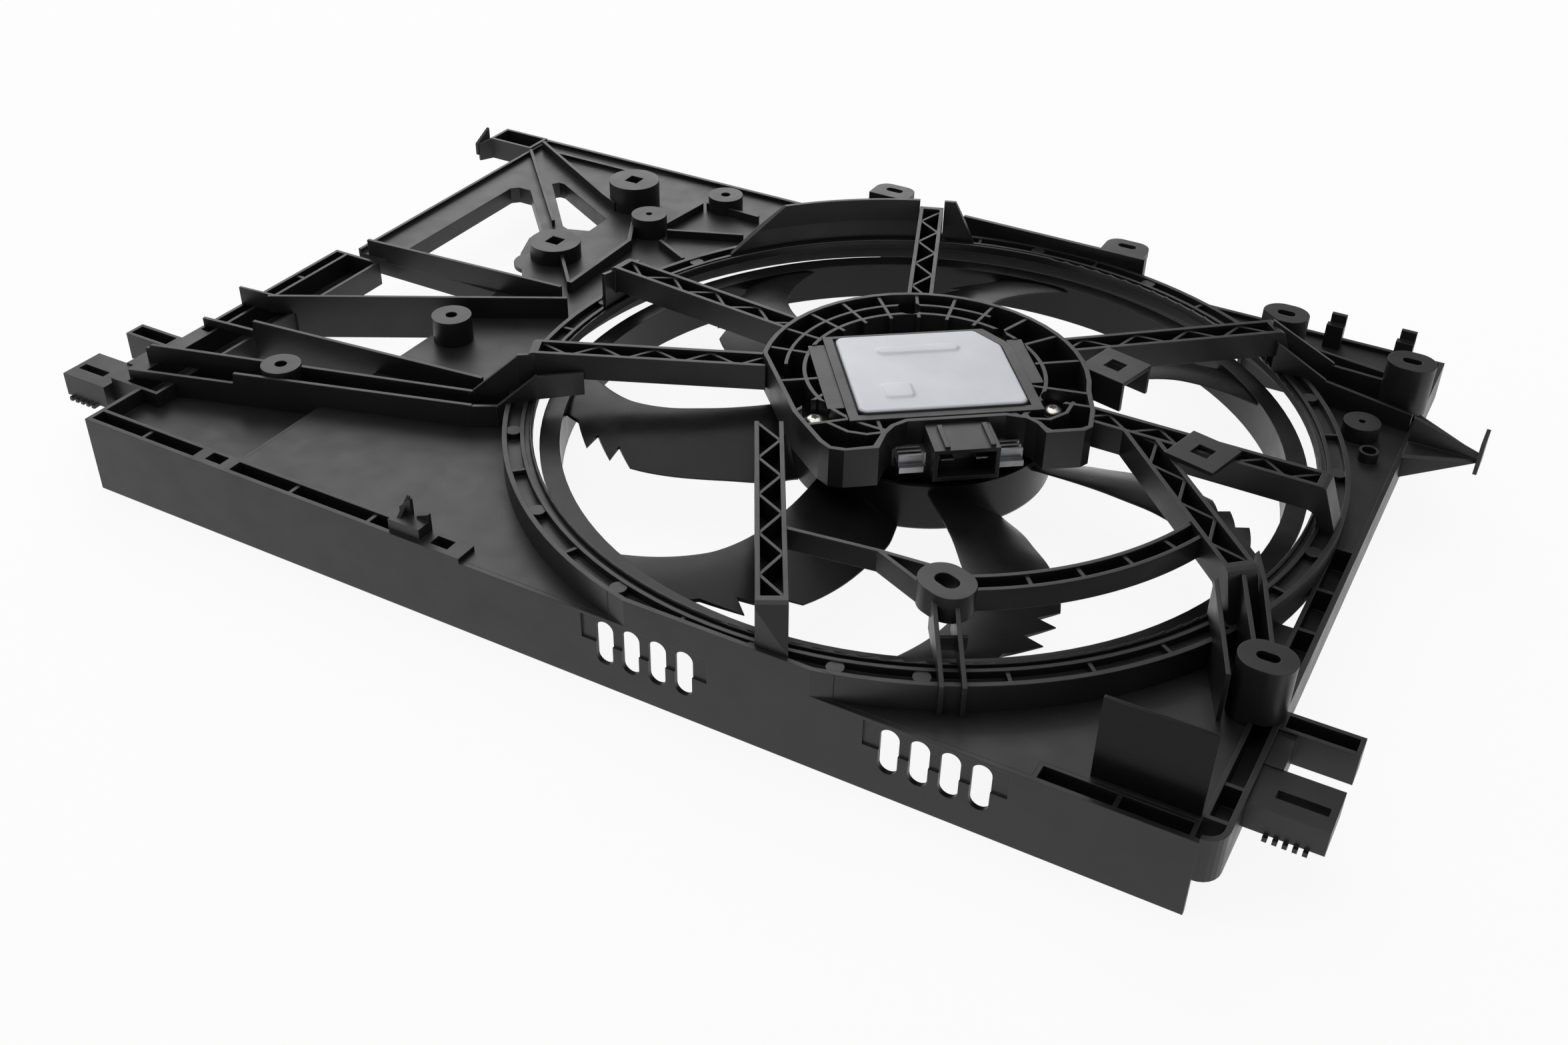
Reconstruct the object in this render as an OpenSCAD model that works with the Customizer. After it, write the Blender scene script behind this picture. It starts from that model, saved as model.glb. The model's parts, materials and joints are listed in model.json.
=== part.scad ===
// Radiator cooling fan: a moulded shroud that carries an electric fan on a spoke lattice.
// Millimetres. X runs along the long front wall, Y to the back wall, Z from the radiator up to
// the engine side. Plan positions are measured from the fan axis and moved together at the end.

/* [Panel] */
// Fan axis to the outer face of the front wall
front_reach = 207; // [205:0.5:209]
// Fan axis to the outer face of the back wall
back_reach = 213; // [211:0.5:216]
// Fan axis to the outer face of the right wall
right_reach = 222; // [220:0.5:228]
// Fan axis to the left end of the front wall
left_reach = 374; // [368:1:384]
// Fan axis to the outer face of the left edge
edge_reach = 394; // [390:1:402]
// Fan axis to the step where the deck ends and the open side frame starts
step_reach = 281; // [276:1:284]
// Height of the moulded rim above the radiator
rim_h = 42.5; // [41.5:0.5:44]
// Height of the top of the deck
deck_h = 40; // [39:0.5:41]
// Thickness of the deck plates
deck_t = 2.5; // [2:0.1:3]
// Thickness of the skirt walls
wall_t = 2.5; // [2:0.1:3]
// Thickness of the ribs
rib_t = 2; // [1.5:0.1:2.5]
// Width of the rim channel, outside to outside
channel_w = 12; // [11:0.5:13]
// Height of the lower edge of the right and back walls
skirt_low = 20; // [16:1:24]

/* [Throat ring] */
// Outer radius of the throat ring
ring_r = 212; // [211.5:0.1:212.5]
// Radius of the throat opening
throat_r = 197; // [196.5:0.1:198]
// Height of the top of the ring ribs
ring_h = 54; // [53:0.5:55]
// Height of the underside of the throat lip
lip_h = 50; // [49.5:0.25:50.5]
// Thickness of the ring floor
lip_t = 1.8; // [1.5:0.1:2.2]
// Number of cross ribs in the ring groove
ring_ribs = 18; // [12:1:24]
// Top of the wind shield behind the ring
shield_h = 78; // [72:1:80]

/* [Spokes and carrier] */
// Height of the top of the spokes
spoke_h = 76; // [75:0.5:77]
// Depth of a spoke
spoke_d = 14; // [12:0.5:15]
// Width of a spoke
spoke_w = 14; // [13:0.5:15]
// Thickness of the spoke webs
web_t = 2.2; // [1.8:0.1:2.4]
// Thickness of the zigzag ribs
zig_t = 1.6; // [1.2:0.1:2]
// Outer radius of the motor carrier
carrier_r = 83; // [82:0.5:84]
// Height of the top of the motor carrier
carrier_h = 79; // [78.5:0.25:79.5]
// Depth of the motor carrier
carrier_d = 21; // [20:0.5:21]

/* [Fan wheel] */
// Blade angles around the axis, unevenly spaced for a quieter wheel
blade_turns = [212, 267, 312.4, 2.2, 60, 108, 156.5];
// Radius at the blade tips
tip_r = 184; // [180:0.5:185]
// Thickness of the outer band
band_t = 2.6; // [2:0.1:3]
// Height of the top flange of the band
band_h = 45; // [44:0.5:47]
// Height of the lower edge of the band
band_low = 24; // [20:0.5:28]
// Width of the band flange
flange_w = 7.5; // [6:0.5:8]
// Outer radius of the hub
hub_r = 68; // [66:0.5:69]
// Height of the hub's lower face
hub_low = 28.5; // [27:0.5:29]
// Height of the hub's open edge
hub_h = 54; // [52:0.5:55]
// Thickness of the hub walls
hub_t = 2.6; // [2.2:0.1:3]
// Greatest thickness of a blade
blade_t = 3; // [2.4:0.1:3.4]

/* [Motor] */
// Outer radius of the rotor can
can_r = 51.5; // [50.5:0.1:52]
// Thickness of the rotor can
can_t = 2.4; // [2:0.1:2.6]
// Height of the rotor can's open edge
can_h = 53; // [52.5:0.5:54]
// Radial thickness of the magnets
magnet_t = 4.4; // [4:0.1:4.8]
// Number of magnets
magnet_n = 14; // [10:2:16]
// Air gap between the magnets and the stator
air_gap = 0.8; // [0.6:0.05:1.2]
// Number of stator teeth
teeth_n = 12; // [9:3:15]
// Radius of the shaft
shaft_r = 4; // [3.5:0.1:4.2]
// Radial running clearance of the shaft in its bearings
shaft_play = 0.05; // [0.02:0.01:0.08]
// Outer radius of the ball bearings
bearing_r = 11; // [10:0.5:12]
// Width of a ball bearing
bearing_w = 7; // [6:0.5:8]
// Outer radius of the bearing tube
tube_r = 15; // [14:0.5:16]

/* [Controller] */
// Turn of the controller housing about the fan axis, in degrees
box_turn = 37; // [30:1:44]
// Length of the controller housing
box_l = 96; // [94:0.5:97]
// Width of the controller housing
box_w = 82; // [81:0.5:83]
// Length of the cover plate
cover_l = 84; // [82:0.5:86]
// Width of the cover plate
cover_w = 73.5; // [72:0.5:75]
// Height of the top of the cover plate
cover_h = 80.5; // [80:0.25:81.5]

/* [Fixings] */
// Height of the top of the module mounting bosses
boss_h = 70; // [68:0.5:71]
// Width of the slots in the mounting bosses
boss_slot_w = 5.6; // [5:0.1:6.6]
// End to end length of the slots in the mounting bosses
boss_slot_l = 10; // [9:0.5:11]
// Height of the top of the truss ribs
truss_h = 53; // [51:0.5:55]
// Width of the slots in the back ears
ear_slot_w = 5; // [4.4:0.1:6]
// End to end length of the slots in the back ears
ear_slot_l = 11; // [10:0.5:12]
// Reach of the left clip beyond the fan axis
tab_reach = 424; // [420:1:428]
// Reach of the right hook arm beyond the fan axis
arm_reach = 258; // [254:1:262]
// Reach of the back ears beyond the back wall
ear_out = 18; // [16:0.5:20]

/* [Hidden] */
$fn = 64;
eps = 0.2;
gap = 0.3;
deck_low = deck_h - deck_t;
channel_low = rim_h - 12;
ring_in = ring_r - 11;
groove_h = ring_h - 4;
chord_x = sqrt(ring_r * ring_r - front_reach * front_reach);
spoke_low = spoke_h - spoke_d;
carrier_low = carrier_h - carrier_d;
carrier_floor = carrier_low + 2;
floor_t = 2.5;
seat_z = carrier_floor + 10;
floor_h = deck_h - 6;
base_r = 56.5;
floor_top = carrier_floor + floor_t;
can_low = hub_low + hub_t + 0.9;
can_in = can_r - can_t;
magnet_in = can_in - 0.05 - magnet_t;
core_r = magnet_in - air_gap;
base_low = can_h + 3;
base_top = carrier_floor + 6;
box_top = carrier_h;
box_at = [2, -2.5];
cover_at = [1.8, -1.4];
cover_t = 3;
lug_turns = [242, 8, 122];
lug_r = 66.3;
screw_r = 2.5;
hub_screw_r = 28;
left_pad_x = -290;
mid_pad_x = -150;
slot_groups = [-57, 83];

shroud_black = [0.11, 0.11, 0.115];
wheel_black = [0.14, 0.14, 0.145];
steel = [0.62, 0.63, 0.65];
alloy = [0.76, 0.77, 0.78];

// Moves the whole module so that the middle of its outline stands on the origin
module placed() {
    translate([(tab_reach - arm_reach) / 2, (front_reach - back_reach - ear_out) / 2, 0])
        children();
}

function polar(r, a) = [r * cos(a), r * sin(a)];
function turn_of(a, b) = atan2(b[1] - a[1], b[0] - a[0]);
// Distance from a along a direction until the radius r is reached
function reach_to(a, dir, r) =
    let (u = [cos(dir), sin(dir)], d = a * u) -d + sqrt(d * d - a * a + r * r);

module bar2(a, b, t) {
    translate(a) rotate(turn_of(a, b)) translate([0, -t / 2]) square([norm(b - a), t]);
}

module run2(pts, t) {
    for (i = [0 : len(pts) - 2]) {
        u = (pts[i + 1] - pts[i]) / norm(pts[i + 1] - pts[i]);
        bar2(pts[i] - u * t * 0.31, pts[i + 1] + u * t * 0.37, t);
    }
}

module wall(pts, t, low, high) {
    translate([0, 0, low]) linear_extrude(high - low) run2(pts, t);
}

// Upright wall from a to b whose top runs from one height to another
module fin(a, b, t, low, high_a, high_b) {
    l = norm(b - a);
    translate([a[0], a[1], 0]) rotate([90, 0, turn_of(a, b)]) translate([0, 0, -t / 2])
        linear_extrude(t) polygon([[0, low], [l, low], [l, high_b], [0, high_a]]);
}

module slot2(l, w) {
    square([l - w, w], center = true);
    for (s = [-1, 1]) translate([s * (l - w) / 2, 0]) circle(d = w, $fn = 32);
}

module plate(pts, low, high) {
    translate([0, 0, low]) linear_extrude(high - low) polygon(pts);
}

module block(low, high) {
    translate(low) cube(high - low);
}

module tube(r_out, r_in, low, high) {
    translate([0, 0, low]) difference() {
        cylinder(r = r_out, h = high - low, $fn = 128);
        translate([0, 0, -1]) cylinder(r = r_in, h = high - low + 2, $fn = 128);
    }
}

// Round boss with a hole down from its top
module boss(at, r, low, high, hole_r, depth) {
    translate([at[0], at[1], low]) difference() {
        cylinder(r = r, h = high - low);
        translate([0, 0, high - low - depth]) cylinder(r = hole_r, h = depth + 1, $fn = 32);
    }
}

// Round boss with a square hole down from its top
module square_boss(at, r, low, high, side, depth) {
    translate([at[0], at[1], low]) difference() {
        cylinder(r = r, h = high - low);
        translate([-side / 2, -side / 2, high - low - depth]) cube([side, side, depth + 1]);
    }
}

// Long boss with a slot down from its top
module slot_boss(at, low, high, depth) {
    translate([at[0], at[1], low]) difference() {
        linear_extrude(high - low) slot2(boss_slot_l + 15, boss_slot_w + 15);
        translate([0, 0, high - low - depth]) linear_extrude(depth + 1)
            slot2(boss_slot_l, boss_slot_w);
    }
}

// Everything inside the throat ring's outer radius
module ring_space() {
    translate([0, 0, -1]) cylinder(r = ring_r, h = 200, $fn = 180);
}

// Room of the throat ring itself, open above its ribs
module ring_rim_space() {
    cylinder(r = ring_r, h = ring_h, $fn = 180);
}

// Bosses on the deck, as [x, y, radius, top, hole radius]
round_bosses = [[-268, -41, 11, 55, 3.2], [-247, 129, 11, 53, 2], [-224, 184, 11, 50, 3]];
square_bosses = [[-279, 73, 15.5, 50, 9], [-278, 160, 16, 57, 9]];

module deck_left() {
    color(shroud_black) {
        difference() {
            union() {
                plate([[-step_reach, -front_reach + channel_w], [mid_pad_x + 14, -front_reach + channel_w],
                    [mid_pad_x + 14, -front_reach + wall_t], [-10, -front_reach + wall_t],
                    [-10, back_reach - wall_t], [-step_reach, back_reach - wall_t]], deck_low, deck_h);
                for (b = square_bosses)
                    translate([b[0], b[1], deck_low]) cylinder(r = b[2] + 1.5, h = deck_t);
                translate([-285, 60, deck_low]) cylinder(r = 13, h = deck_t);
            }
            ring_space();
        }
    }
}

// Bosses on the left deck and the ribs that stiffen them
module left_bosses() {
    color(shroud_black)
        difference() {
            union() {
                for (b = round_bosses) boss([b[0], b[1]], b[2], deck_h - 1, b[3], b[4], 12);
                for (b = square_bosses) square_boss([b[0], b[1]], b[2], deck_h - 1.5, b[3], b[4], 8);
                wall([[-233, 177], [-196, 176]], rib_t, deck_h - 0.5, 45);
                wall([[-236, 174], [-240, 138]], rib_t, deck_h - 0.6, 45);
                wall([[-234, 130], [-191, 148]], rib_t, deck_h - 0.7, 45);
                wall([[-230, 115], [-206, 102]], rib_t, deck_h - 0.5, 45);
                wall([[-268, 64], [-245, 38]], rib_t, deck_h - 0.5, 47);
                wall([[-256, 124], [-244.5, 102], [-243.5, 38]], wall_t, deck_h - 0.8, 47);
            }
            // They stand on the deck
            block([-edge_reach, -front_reach, 0], [0, back_reach, deck_h]);
        }
}

module deck_front_right() {
    color(shroud_black) difference() {
        plate([[10, -front_reach + wall_t], [144, -front_reach + wall_t], [144, -front_reach + channel_w],
            [right_reach - channel_w, -front_reach + channel_w], [right_reach - channel_w, -60],
            [10, -60]], deck_low, deck_h);
        ring_space();
    }
}

module deck_back_right() {
    color(shroud_black) {
        difference() {
            plate([[10, back_reach - wall_t], [right_reach - wall_t, back_reach - wall_t],
                [right_reach - wall_t, 8], [right_reach - channel_w, 8], [right_reach - channel_w, 2],
                [10, 2]], deck_low, deck_h);
            ring_space();
        }
        boss([197.5, 116], 9.5, deck_h - eps, 49, 1.8, 8);
        difference() {
            translate([206.5, 95, deck_h - eps]) cylinder(r = 5, h = 6);
            translate([206.5, 95, deck_h + 1]) cylinder(r = 3.6, h = 8);
        }
    }
}

// Slotted window in the front wall, four slots wide
module window_slots(x0) {
    for (i = [0 : 3]) translate([x0 + 13.7 * i, -front_reach - 2, 25.2]) rotate([-90, 0, 0])
        linear_extrude(wall_t + 4) rotate(90) slot2(23.5, 9);
}

module front_wall() {
    y0 = -front_reach;
    y1 = y0 + wall_t;
    pad_right = mid_pad_x + 14;
    color(shroud_black) difference() {
        union() {
            block([-left_reach, y0, 0], [pad_right, y1, rim_h]);
            block([pad_right - eps, y0, 0], [right_reach - 9.5, y1, deck_h]);
            // Raised part where the wall cuts through the throat ring
            plate_wall(y0, y1);
            // Channel along the left part of the rim
            difference() {
                block([-left_reach, y1 - eps, channel_low - wall_t], [pad_right, y0 + channel_w, rim_h]);
                block([-left_reach + wall_t, y1, channel_low],
                    [left_pad_x - 12, y0 + channel_w - rib_t, rim_h + 1]);
                block([left_pad_x + 12, y1, channel_low],
                    [mid_pad_x - 12, y0 + channel_w - rib_t, rim_h + 1]);
            }
            for (x = [-337, -240, -192])
                block([x - rib_t / 2, y1 - eps, channel_low - eps],
                    [x + rib_t / 2, y0 + channel_w, rim_h - 1]);
            clip_post();
            // Channel at the right end of the wall
            difference() {
                block([144, y1 - eps, channel_low - wall_t],
                    [right_reach - channel_w, y0 + channel_w, deck_h]);
                block([146, y1, channel_low],
                    [right_reach - channel_w - rib_t, y0 + channel_w - rib_t, rim_h]);
            }
            block([177, y1 - eps, channel_low - eps], [179, y0 + channel_w, deck_h - 1]);
        }
        for (x = [left_pad_x, mid_pad_x])
            block([x - 5, y0 + 3.5, 0], [x + 5, y0 + 10, rim_h + 1]);
        for (x = slot_groups) window_slots(x);
        // Stepped face of the windows
        for (x = slot_groups) block([x - 12, y0 - 1, 25], [x + 53, y0 + 1, deck_h - 1.5]);
    }
}

module plate_wall(y0, y1) {
    intersection() {
        block([-chord_x - 20, y0, deck_low], [chord_x + 20, y1, ring_h]);
        translate([0, 0, deck_low]) cylinder(r = ring_r, h = 30, $fn = 180);
    }
}

// Three-pronged post that holds a cable clip
module clip_post() {
    x = -172;
    y0 = -front_reach;
    block([x - 6, y0 + wall_t - eps, channel_low - eps], [x + 12, y0 + channel_w, rim_h + 6]);
    fin([x - 5, y0 + 11], [x + 2, y0 + 11], rib_t, rim_h, rim_h + 9, rim_h + 15);
    fin([x + 12, y0 + 11], [x + 5, y0 + 11], rib_t, rim_h, rim_h + 10, rim_h + 7);
    fin([x - 2, y0 + 3], [x - 2, y0 + 14], rib_t, rim_h, rim_h + 4, rim_h + 14);
}

module right_wall() {
    x1 = right_reach;
    y0 = -front_reach;
    corner_r = 9.5;
    at = [x1 - corner_r, y0 + corner_r];
    color(shroud_black) {
        // Wall with the rounded corner that joins the front wall
        plate(concat([for (t = [270 : 15 : 360]) at + polar(corner_r, t)], [[x1, 150], [x1 - wall_t, 150]],
            [for (t = [360 : -15 : 270]) at + polar(corner_r - wall_t, t)]), skirt_low, rim_h);
        // Channel along the wall, open where the throat ring passes through its inner side
        difference() {
            block([x1 - channel_w, y0 + channel_w, channel_low - wall_t], [x1 - wall_t + 1, 8, rim_h]);
            block([x1 - channel_w + rib_t, y0 + channel_w + rib_t, channel_low],
                [x1 - wall_t, 8 - rib_t, rim_h + 1]);
            translate([0, 0, deck_low]) cylinder(r = ring_r, h = 50, $fn = 180);
        }
        for (y = [-172, -113, -61, -28])
            block([x1 - channel_w, y - rib_t / 2, channel_low - eps],
                [x1 - wall_t + eps, y + rib_t / 2, rim_h - 1]);
    }
}

module back_wall() {
    y1 = back_reach;
    y0 = y1 - wall_t;
    color(shroud_black) {
        block([-step_reach, y0, skirt_low], [right_reach - wall_t + eps, y1, rim_h]);
        block([right_reach - wall_t, 150, skirt_low], [right_reach, y1, rim_h]);
        block([-70, y0, rim_h - eps], [46, y1, 61.5]);
        // Locating feet that stand on the radiator
        for (x = [-268, 112]) block([x, y0, 0], [x + 76, y1, skirt_low + eps]);
        for (x = [-268, -232, 112, 148, 186])
            block([x, y0 - 8, skirt_low - 14], [x + rib_t, y0 + eps, deck_low]);
        // Snap hooks: a spring tongue behind a stop, tied to the wall at their foot
        for (x = [161.5, 199.8]) {
            block([x - 4.8, y0 - 8.5, deck_h], [x + 4.8, y0 - 4.3, deck_h + 14]);
            block([x - 3.7, y0 - 4.8, deck_h], [x + 4.7, y0 - 2.3, deck_h + 19.5]);
            block([x - 3, y0 - 3, deck_h], [x + 3, y0 + eps, rim_h - 0.5]);
        }
    }
}

module left_edge() {
    x0 = -edge_reach;
    color(shroud_black) {
        difference() {
            block([x0, -171, channel_low - wall_t], [x0 + 33, 7, rim_h]);
            block([x0 + 2, -108, channel_low], [x0 + 8, 5, rim_h + 1]);
            block([x0 + 10, -169, channel_low], [x0 + 31, 5, rim_h + 1]);
        }
        block([x0, -31, channel_low - eps], [x0 + 9, -29, rim_h - 1]);
        block([x0 + 8, -58, channel_low - eps], [x0 + 33, -56, rim_h - 2]);
    }
}

module front_left_floor() {
    color(shroud_black) {
        plate([[-left_reach + 13, -front_reach + channel_w], [-step_reach, -front_reach + channel_w],
            [-step_reach, -104], [-left_reach + 13, -117]], floor_h - deck_t, floor_h);
        block([-left_reach, -front_reach + channel_w, floor_h - 8], [-left_reach + wall_t, -171, rim_h]);
        block([-left_reach + wall_t - eps, -front_reach + channel_w, floor_h - deck_t],
            [-left_reach + 13 + eps, -171, floor_h]);
        block([-step_reach - rib_t, -front_reach + channel_w, floor_h - eps], [-step_reach, -104, deck_h]);
    }
}

module corner_frame() {
    x0 = -384;
    y1 = back_reach;
    low = rim_h - 13;
    color(shroud_black) {
        difference() {
            plate([[x0, y1], [-step_reach, y1], [-step_reach, 15], [x0, 15]], low, deck_h);
            // The two openings of the frame
            plate([[-361, 18], [-361, 138], [-357, 142], [-348, 142], [-307, 98], [-307, 84], [-299, 64],
                [-290, 52], [-step_reach + 1, 40], [-step_reach + 1, 18]], low - 1, deck_h + 1);
            plate([[-342, 158], [-339, 162], [-335, 162], [-step_reach + 1, 131], [-step_reach + 1, 112],
                [-294, 107], [-299, 109]], low - 1, deck_h + 1);
            // Hollow underside
            block([x0 + 3, 25, low - 1], [-363, 150, deck_low]);
            for (b = square_bosses) translate([b[0], b[1], 0]) cylinder(r = b[2] + 1.5, h = 100);
            translate([-285, 60, 0]) cylinder(r = 13, h = 100);
        }
        // Rim along the back and the left
        block([x0, y1 - wall_t, low], [-step_reach, y1, rim_h]);
        block([x0, 15, deck_h - eps], [x0 + rib_t, y1 - wall_t + eps, rim_h]);
        block([-366, y1 - 16, deck_h - eps], [-303, y1 - 14, rim_h]);
        // Diagonal ribs that meet in the corner
        fin([-380, 202], [-296, 151.5], rib_t, deck_h - eps, 46, 46);
        difference() {
            fin([-296, 151.5], [-283, 145], rib_t, deck_h - eps, 46, 46);
            for (b = square_bosses) translate([b[0], b[1], 0]) {
                cylinder(r = b[2] + 1.5, h = deck_h);
                cylinder(r = b[2], h = 100);
            }
        }
        fin([-382, 190], [-304, 106], rib_t, deck_h - eps, 44, 44);
        // Corner box and its hook
        difference() {
            block([-418, 192, low], [x0 + eps, y1 - 1, rim_h + 1]);
            block([-416, 194, low + 3], [x0 - 2, y1 - 3, rim_h + 2]);
        }
        fin([-417, 193], [-tab_reach + 2, 184], rib_t, low, rim_h + 1, rim_h - 1);
        fin([-tab_reach + 1, 183], [-tab_reach + 1, 197], rib_t, low + 4, rim_h - 1, rim_h + 6);
    }
}

// Deep rib from the left edge over the open side to the deck: it stands on both
module truss_rib(a, b, low, high_a, high_b, foot) {
    l = norm(b - a);
    u = (b - a) / l;
    edge_l = (-edge_reach + 34 - a[0]) / u[0];
    deck_l = (-step_reach - 1 - a[0]) / u[0];
    translate([a[0], a[1], 0]) rotate([90, 0, turn_of(a, b)])
        translate([0, 0, -rib_t / 2]) linear_extrude(rib_t)
            polygon([[0, foot], [edge_l, foot], [edge_l, low], [deck_l, low], [deck_l, deck_h], [l, deck_h],
                [l, high_b], [edge_l + 1, high_b], [edge_l, high_a], [0, high_a]]);
}

// Wall that stands on the left edge and the front floor, lower up to step_x
module floor_wall(a, b, step_x, step_top) {
    l = norm(b - a);
    u = (b - a) / l;
    edge_l = (-edge_reach + 33 - a[0]) / u[0];
    step_l = (step_x - a[0]) / u[0];
    translate([a[0], a[1], 0]) rotate([90, 0, turn_of(a, b)])
        translate([0, 0, -rib_t / 2]) linear_extrude(rib_t)
            polygon([[0, rim_h], [edge_l, rim_h], [edge_l, floor_h], [l, floor_h], [l, truss_h],
                [step_l + 1, truss_h], [step_l, step_top], [0, step_top]]);
}

// The two long walls that end in ramps up to the left spoke, and the boss on one of them
module front_walls() {
    boss_at = [-311, -129.5];
    difference() {
        union() {
            floor_wall([-390, -147.5], [-209, -97.4], -388, truss_h - 2);
            floor_wall([-386.5, -164.2], [-202, -109.1], -329, truss_h - 6);
            fin([-212, -98.6], [-188, -85.6], rib_t, deck_low, truss_h - 1.5, spoke_h - 1);
            fin([-188.7, -86.2], [-172, -74], rib_t, deck_h, spoke_h - 1, spoke_h - 1);
            fin([-203.4, -109.9], [-190.5, -102.2], rib_t, deck_low, truss_h - 0.5, truss_h - 0.5);
            fin([-191.4, -103], [-175.5, -88.2], rib_t, deck_low - 1, truss_h - 1, spoke_h - 8);
            fin([-176.3, -88.8], [-158, -72], rib_t, deck_h, spoke_h - 9, spoke_h - 9);
            translate([boss_at[0], boss_at[1], floor_h]) cylinder(r = 10.5, h = truss_h + 2 - floor_h);
        }
        translate([boss_at[0], boss_at[1], truss_h - 10]) cylinder(r = 3.2, h = 20, $fn = 32);
        ring_rim_space();
        girder_body(line_c, ring_r - 2);
        // From the step on the walls stand on the deck
        block([-step_reach - rib_t, -200, 0], [0, 0, deck_h]);
    }
}

module truss_ribs() {
    color(shroud_black) {
        front_walls();
        truss_rib([-372, 11.5], [-238, 21], deck_h + gap, truss_h, truss_h, rim_h);
        truss_rib([-373, -73], [-227, 11.4], deck_h - 13, truss_h, truss_h, rim_h);
        truss_rib([-edge_reach, -102.5], [-214, -84.5], deck_h - 13, 47, truss_h, rim_h);
        fin([-edge_reach, -73], [-368.4, -70.5], 0.8 * rib_t, rim_h, truss_h, truss_h);
    }
}

// One turn of the ring: outer wall, groove, inner rib, annulus and the rounded lip
module throat_ring() {
    color(shroud_black) intersection() {
        union() {
            rotate_extrude($fn = 180) {
                translate([ring_r - wall_t, deck_low]) square([wall_t, ring_h - deck_low]);
                translate([ring_in, groove_h - lip_t]) square([ring_r - ring_in - wall_t + eps, lip_t]);
                translate([ring_in, groove_h - lip_t]) square([rib_t, ring_h - groove_h + lip_t]);
                translate([throat_r, ring_h - 2 - lip_t]) square([ring_in - throat_r + eps, lip_t]);
                translate([throat_r, lip_h]) square([1.6, ring_h - lip_h]);
                translate([throat_r + 0.8, ring_h]) circle(r = 0.8, $fn = 20);
            }
            // Cross ribs take turns with round bosses, apart from three bosses in a row in front
            for (i = [0 : 2 * ring_ribs - 1]) rotate(-135 + i * 180 / ring_ribs)
                if (i % 2 == 0 && i != 6 || i % 2 == 1 && i == 9)
                    translate([ring_in + 1, -0.9, groove_h - eps])
                        cube([ring_r - ring_in - wall_t, 1.8, ring_h - groove_h - 0.6]);
                else
                    translate([(ring_in + ring_r) / 2 - 0.3, 0, groove_h - eps])
                        cylinder(r = 4, h = ring_h - groove_h - 0.4, $fn = 32);
        }
        block([-ring_r - 1, -front_reach + wall_t, 0], [ring_r + 1, back_reach - wall_t, 200]);
    }
}

module wind_shield() {
    color(shroud_black) difference() {
        rotate(106) rotate_extrude(angle = 43, $fn = 180)
            polygon([[ring_in, ring_h], [ring_in + rib_t, ring_h],
                [ring_in + rib_t + 2.6, ring_h + 12], [ring_in + rib_t + 3.4, shield_h],
                [ring_in + 3.2, shield_h], [ring_in + 0.6, ring_h + 12]]);
        // Sloping ends
        rotate(149) translate([ring_r, 0, ring_h + 1]) rotate([0, 0, 180])
            shield_cut(40, shield_h - ring_h);
        rotate(106) translate([ring_r, 0, ring_h + 1]) shield_cut(14, shield_h - ring_h);
        // Room for the top spoke
        translate([line_a[0][0], line_a[0][1], 0]) rotate(line_a[1])
            translate([0, -spoke_w / 2 - gap, ring_h]) cube([200, spoke_w + 2 * gap, 60]);
        block([-200, back_reach - wall_t, 0], [200, 300, 200]);
    }
}

module shield_cut(l, h) {
    rotate([90, 0, 90]) translate([0, 0, -30]) linear_extrude(60)
        polygon([[-5, 0], [0, 0], [l, h + 1], [l, h + 20], [-5, h + 20]]);
}

// Spokes, as [inner point, direction, zigzag cells]
line_a = [[-38, 76], 111.4, 8];
line_b = [[-80, 13.2], 173.9, 8];
line_c = [[-76, -26.8], 204.2, 8];
line_d = [[-46, -78], 299.7, 9];
line_e = [[80, 8], 0, 9];
line_f = [[107, 8.3], 312.3, 7];
line_g = [[48, 64], 40.6, 8];

// Outer form of a spoke, with its foot on the throat ring
module girder_body(spoke, foot_r) {
    a = spoke[0];
    dir = spoke[1];
    l_in = reach_to(a, dir, ring_in);
    l_top = reach_to(a, dir, ring_in - 1);
    l_out = reach_to(a, dir, foot_r);
    r = 6;
    translate([a[0], a[1], 0]) rotate(dir) translate([0, spoke_w / 2, 0]) rotate([90, 0, 0])
        linear_extrude(spoke_w) polygon(concat([[0, spoke_low]],
            [for (t = [90 : -15 : 0]) [l_in - r + r * cos(t), spoke_low - r + r * sin(t)]],
            [[l_in, ring_h], [l_out, ring_h], [l_top + 2, spoke_h - 1], [l_top, spoke_h], [0, spoke_h]]));
}

// Closed-bottom lattice girder
module girder(spoke, foot_r = ring_r - 2) {
    a = spoke[0];
    dir = spoke[1];
    cells = spoke[2];
    l_top = reach_to(a, dir, ring_in - 1);
    half = spoke_w / 2 - web_t;
    step = (l_top - 4) / cells;
    difference() {
        girder_body(spoke, foot_r);
        translate([a[0], a[1], 0]) rotate(dir)
            translate([-1, -half, spoke_low + 2]) cube([l_top - 2, 2 * half, spoke_d]);
    }
    translate([a[0], a[1], 0]) rotate(dir) {
        translate([0, 0, spoke_low + 2 - eps]) linear_extrude(spoke_d - 3)
            for (i = [0 : cells - 1]) {
                s = i % 2 == 0 ? 1 : -1;
                bar2([i * step, -s * (half + 0.4)], [(i + 1) * step, s * (half + 0.4)], zig_t);
            }
    }
}

// Plan point of a point in the housing's own frame
function box_point(x, y) =
    [x * cos(box_turn) - y * sin(box_turn), x * sin(box_turn) + y * cos(box_turn)];

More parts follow.
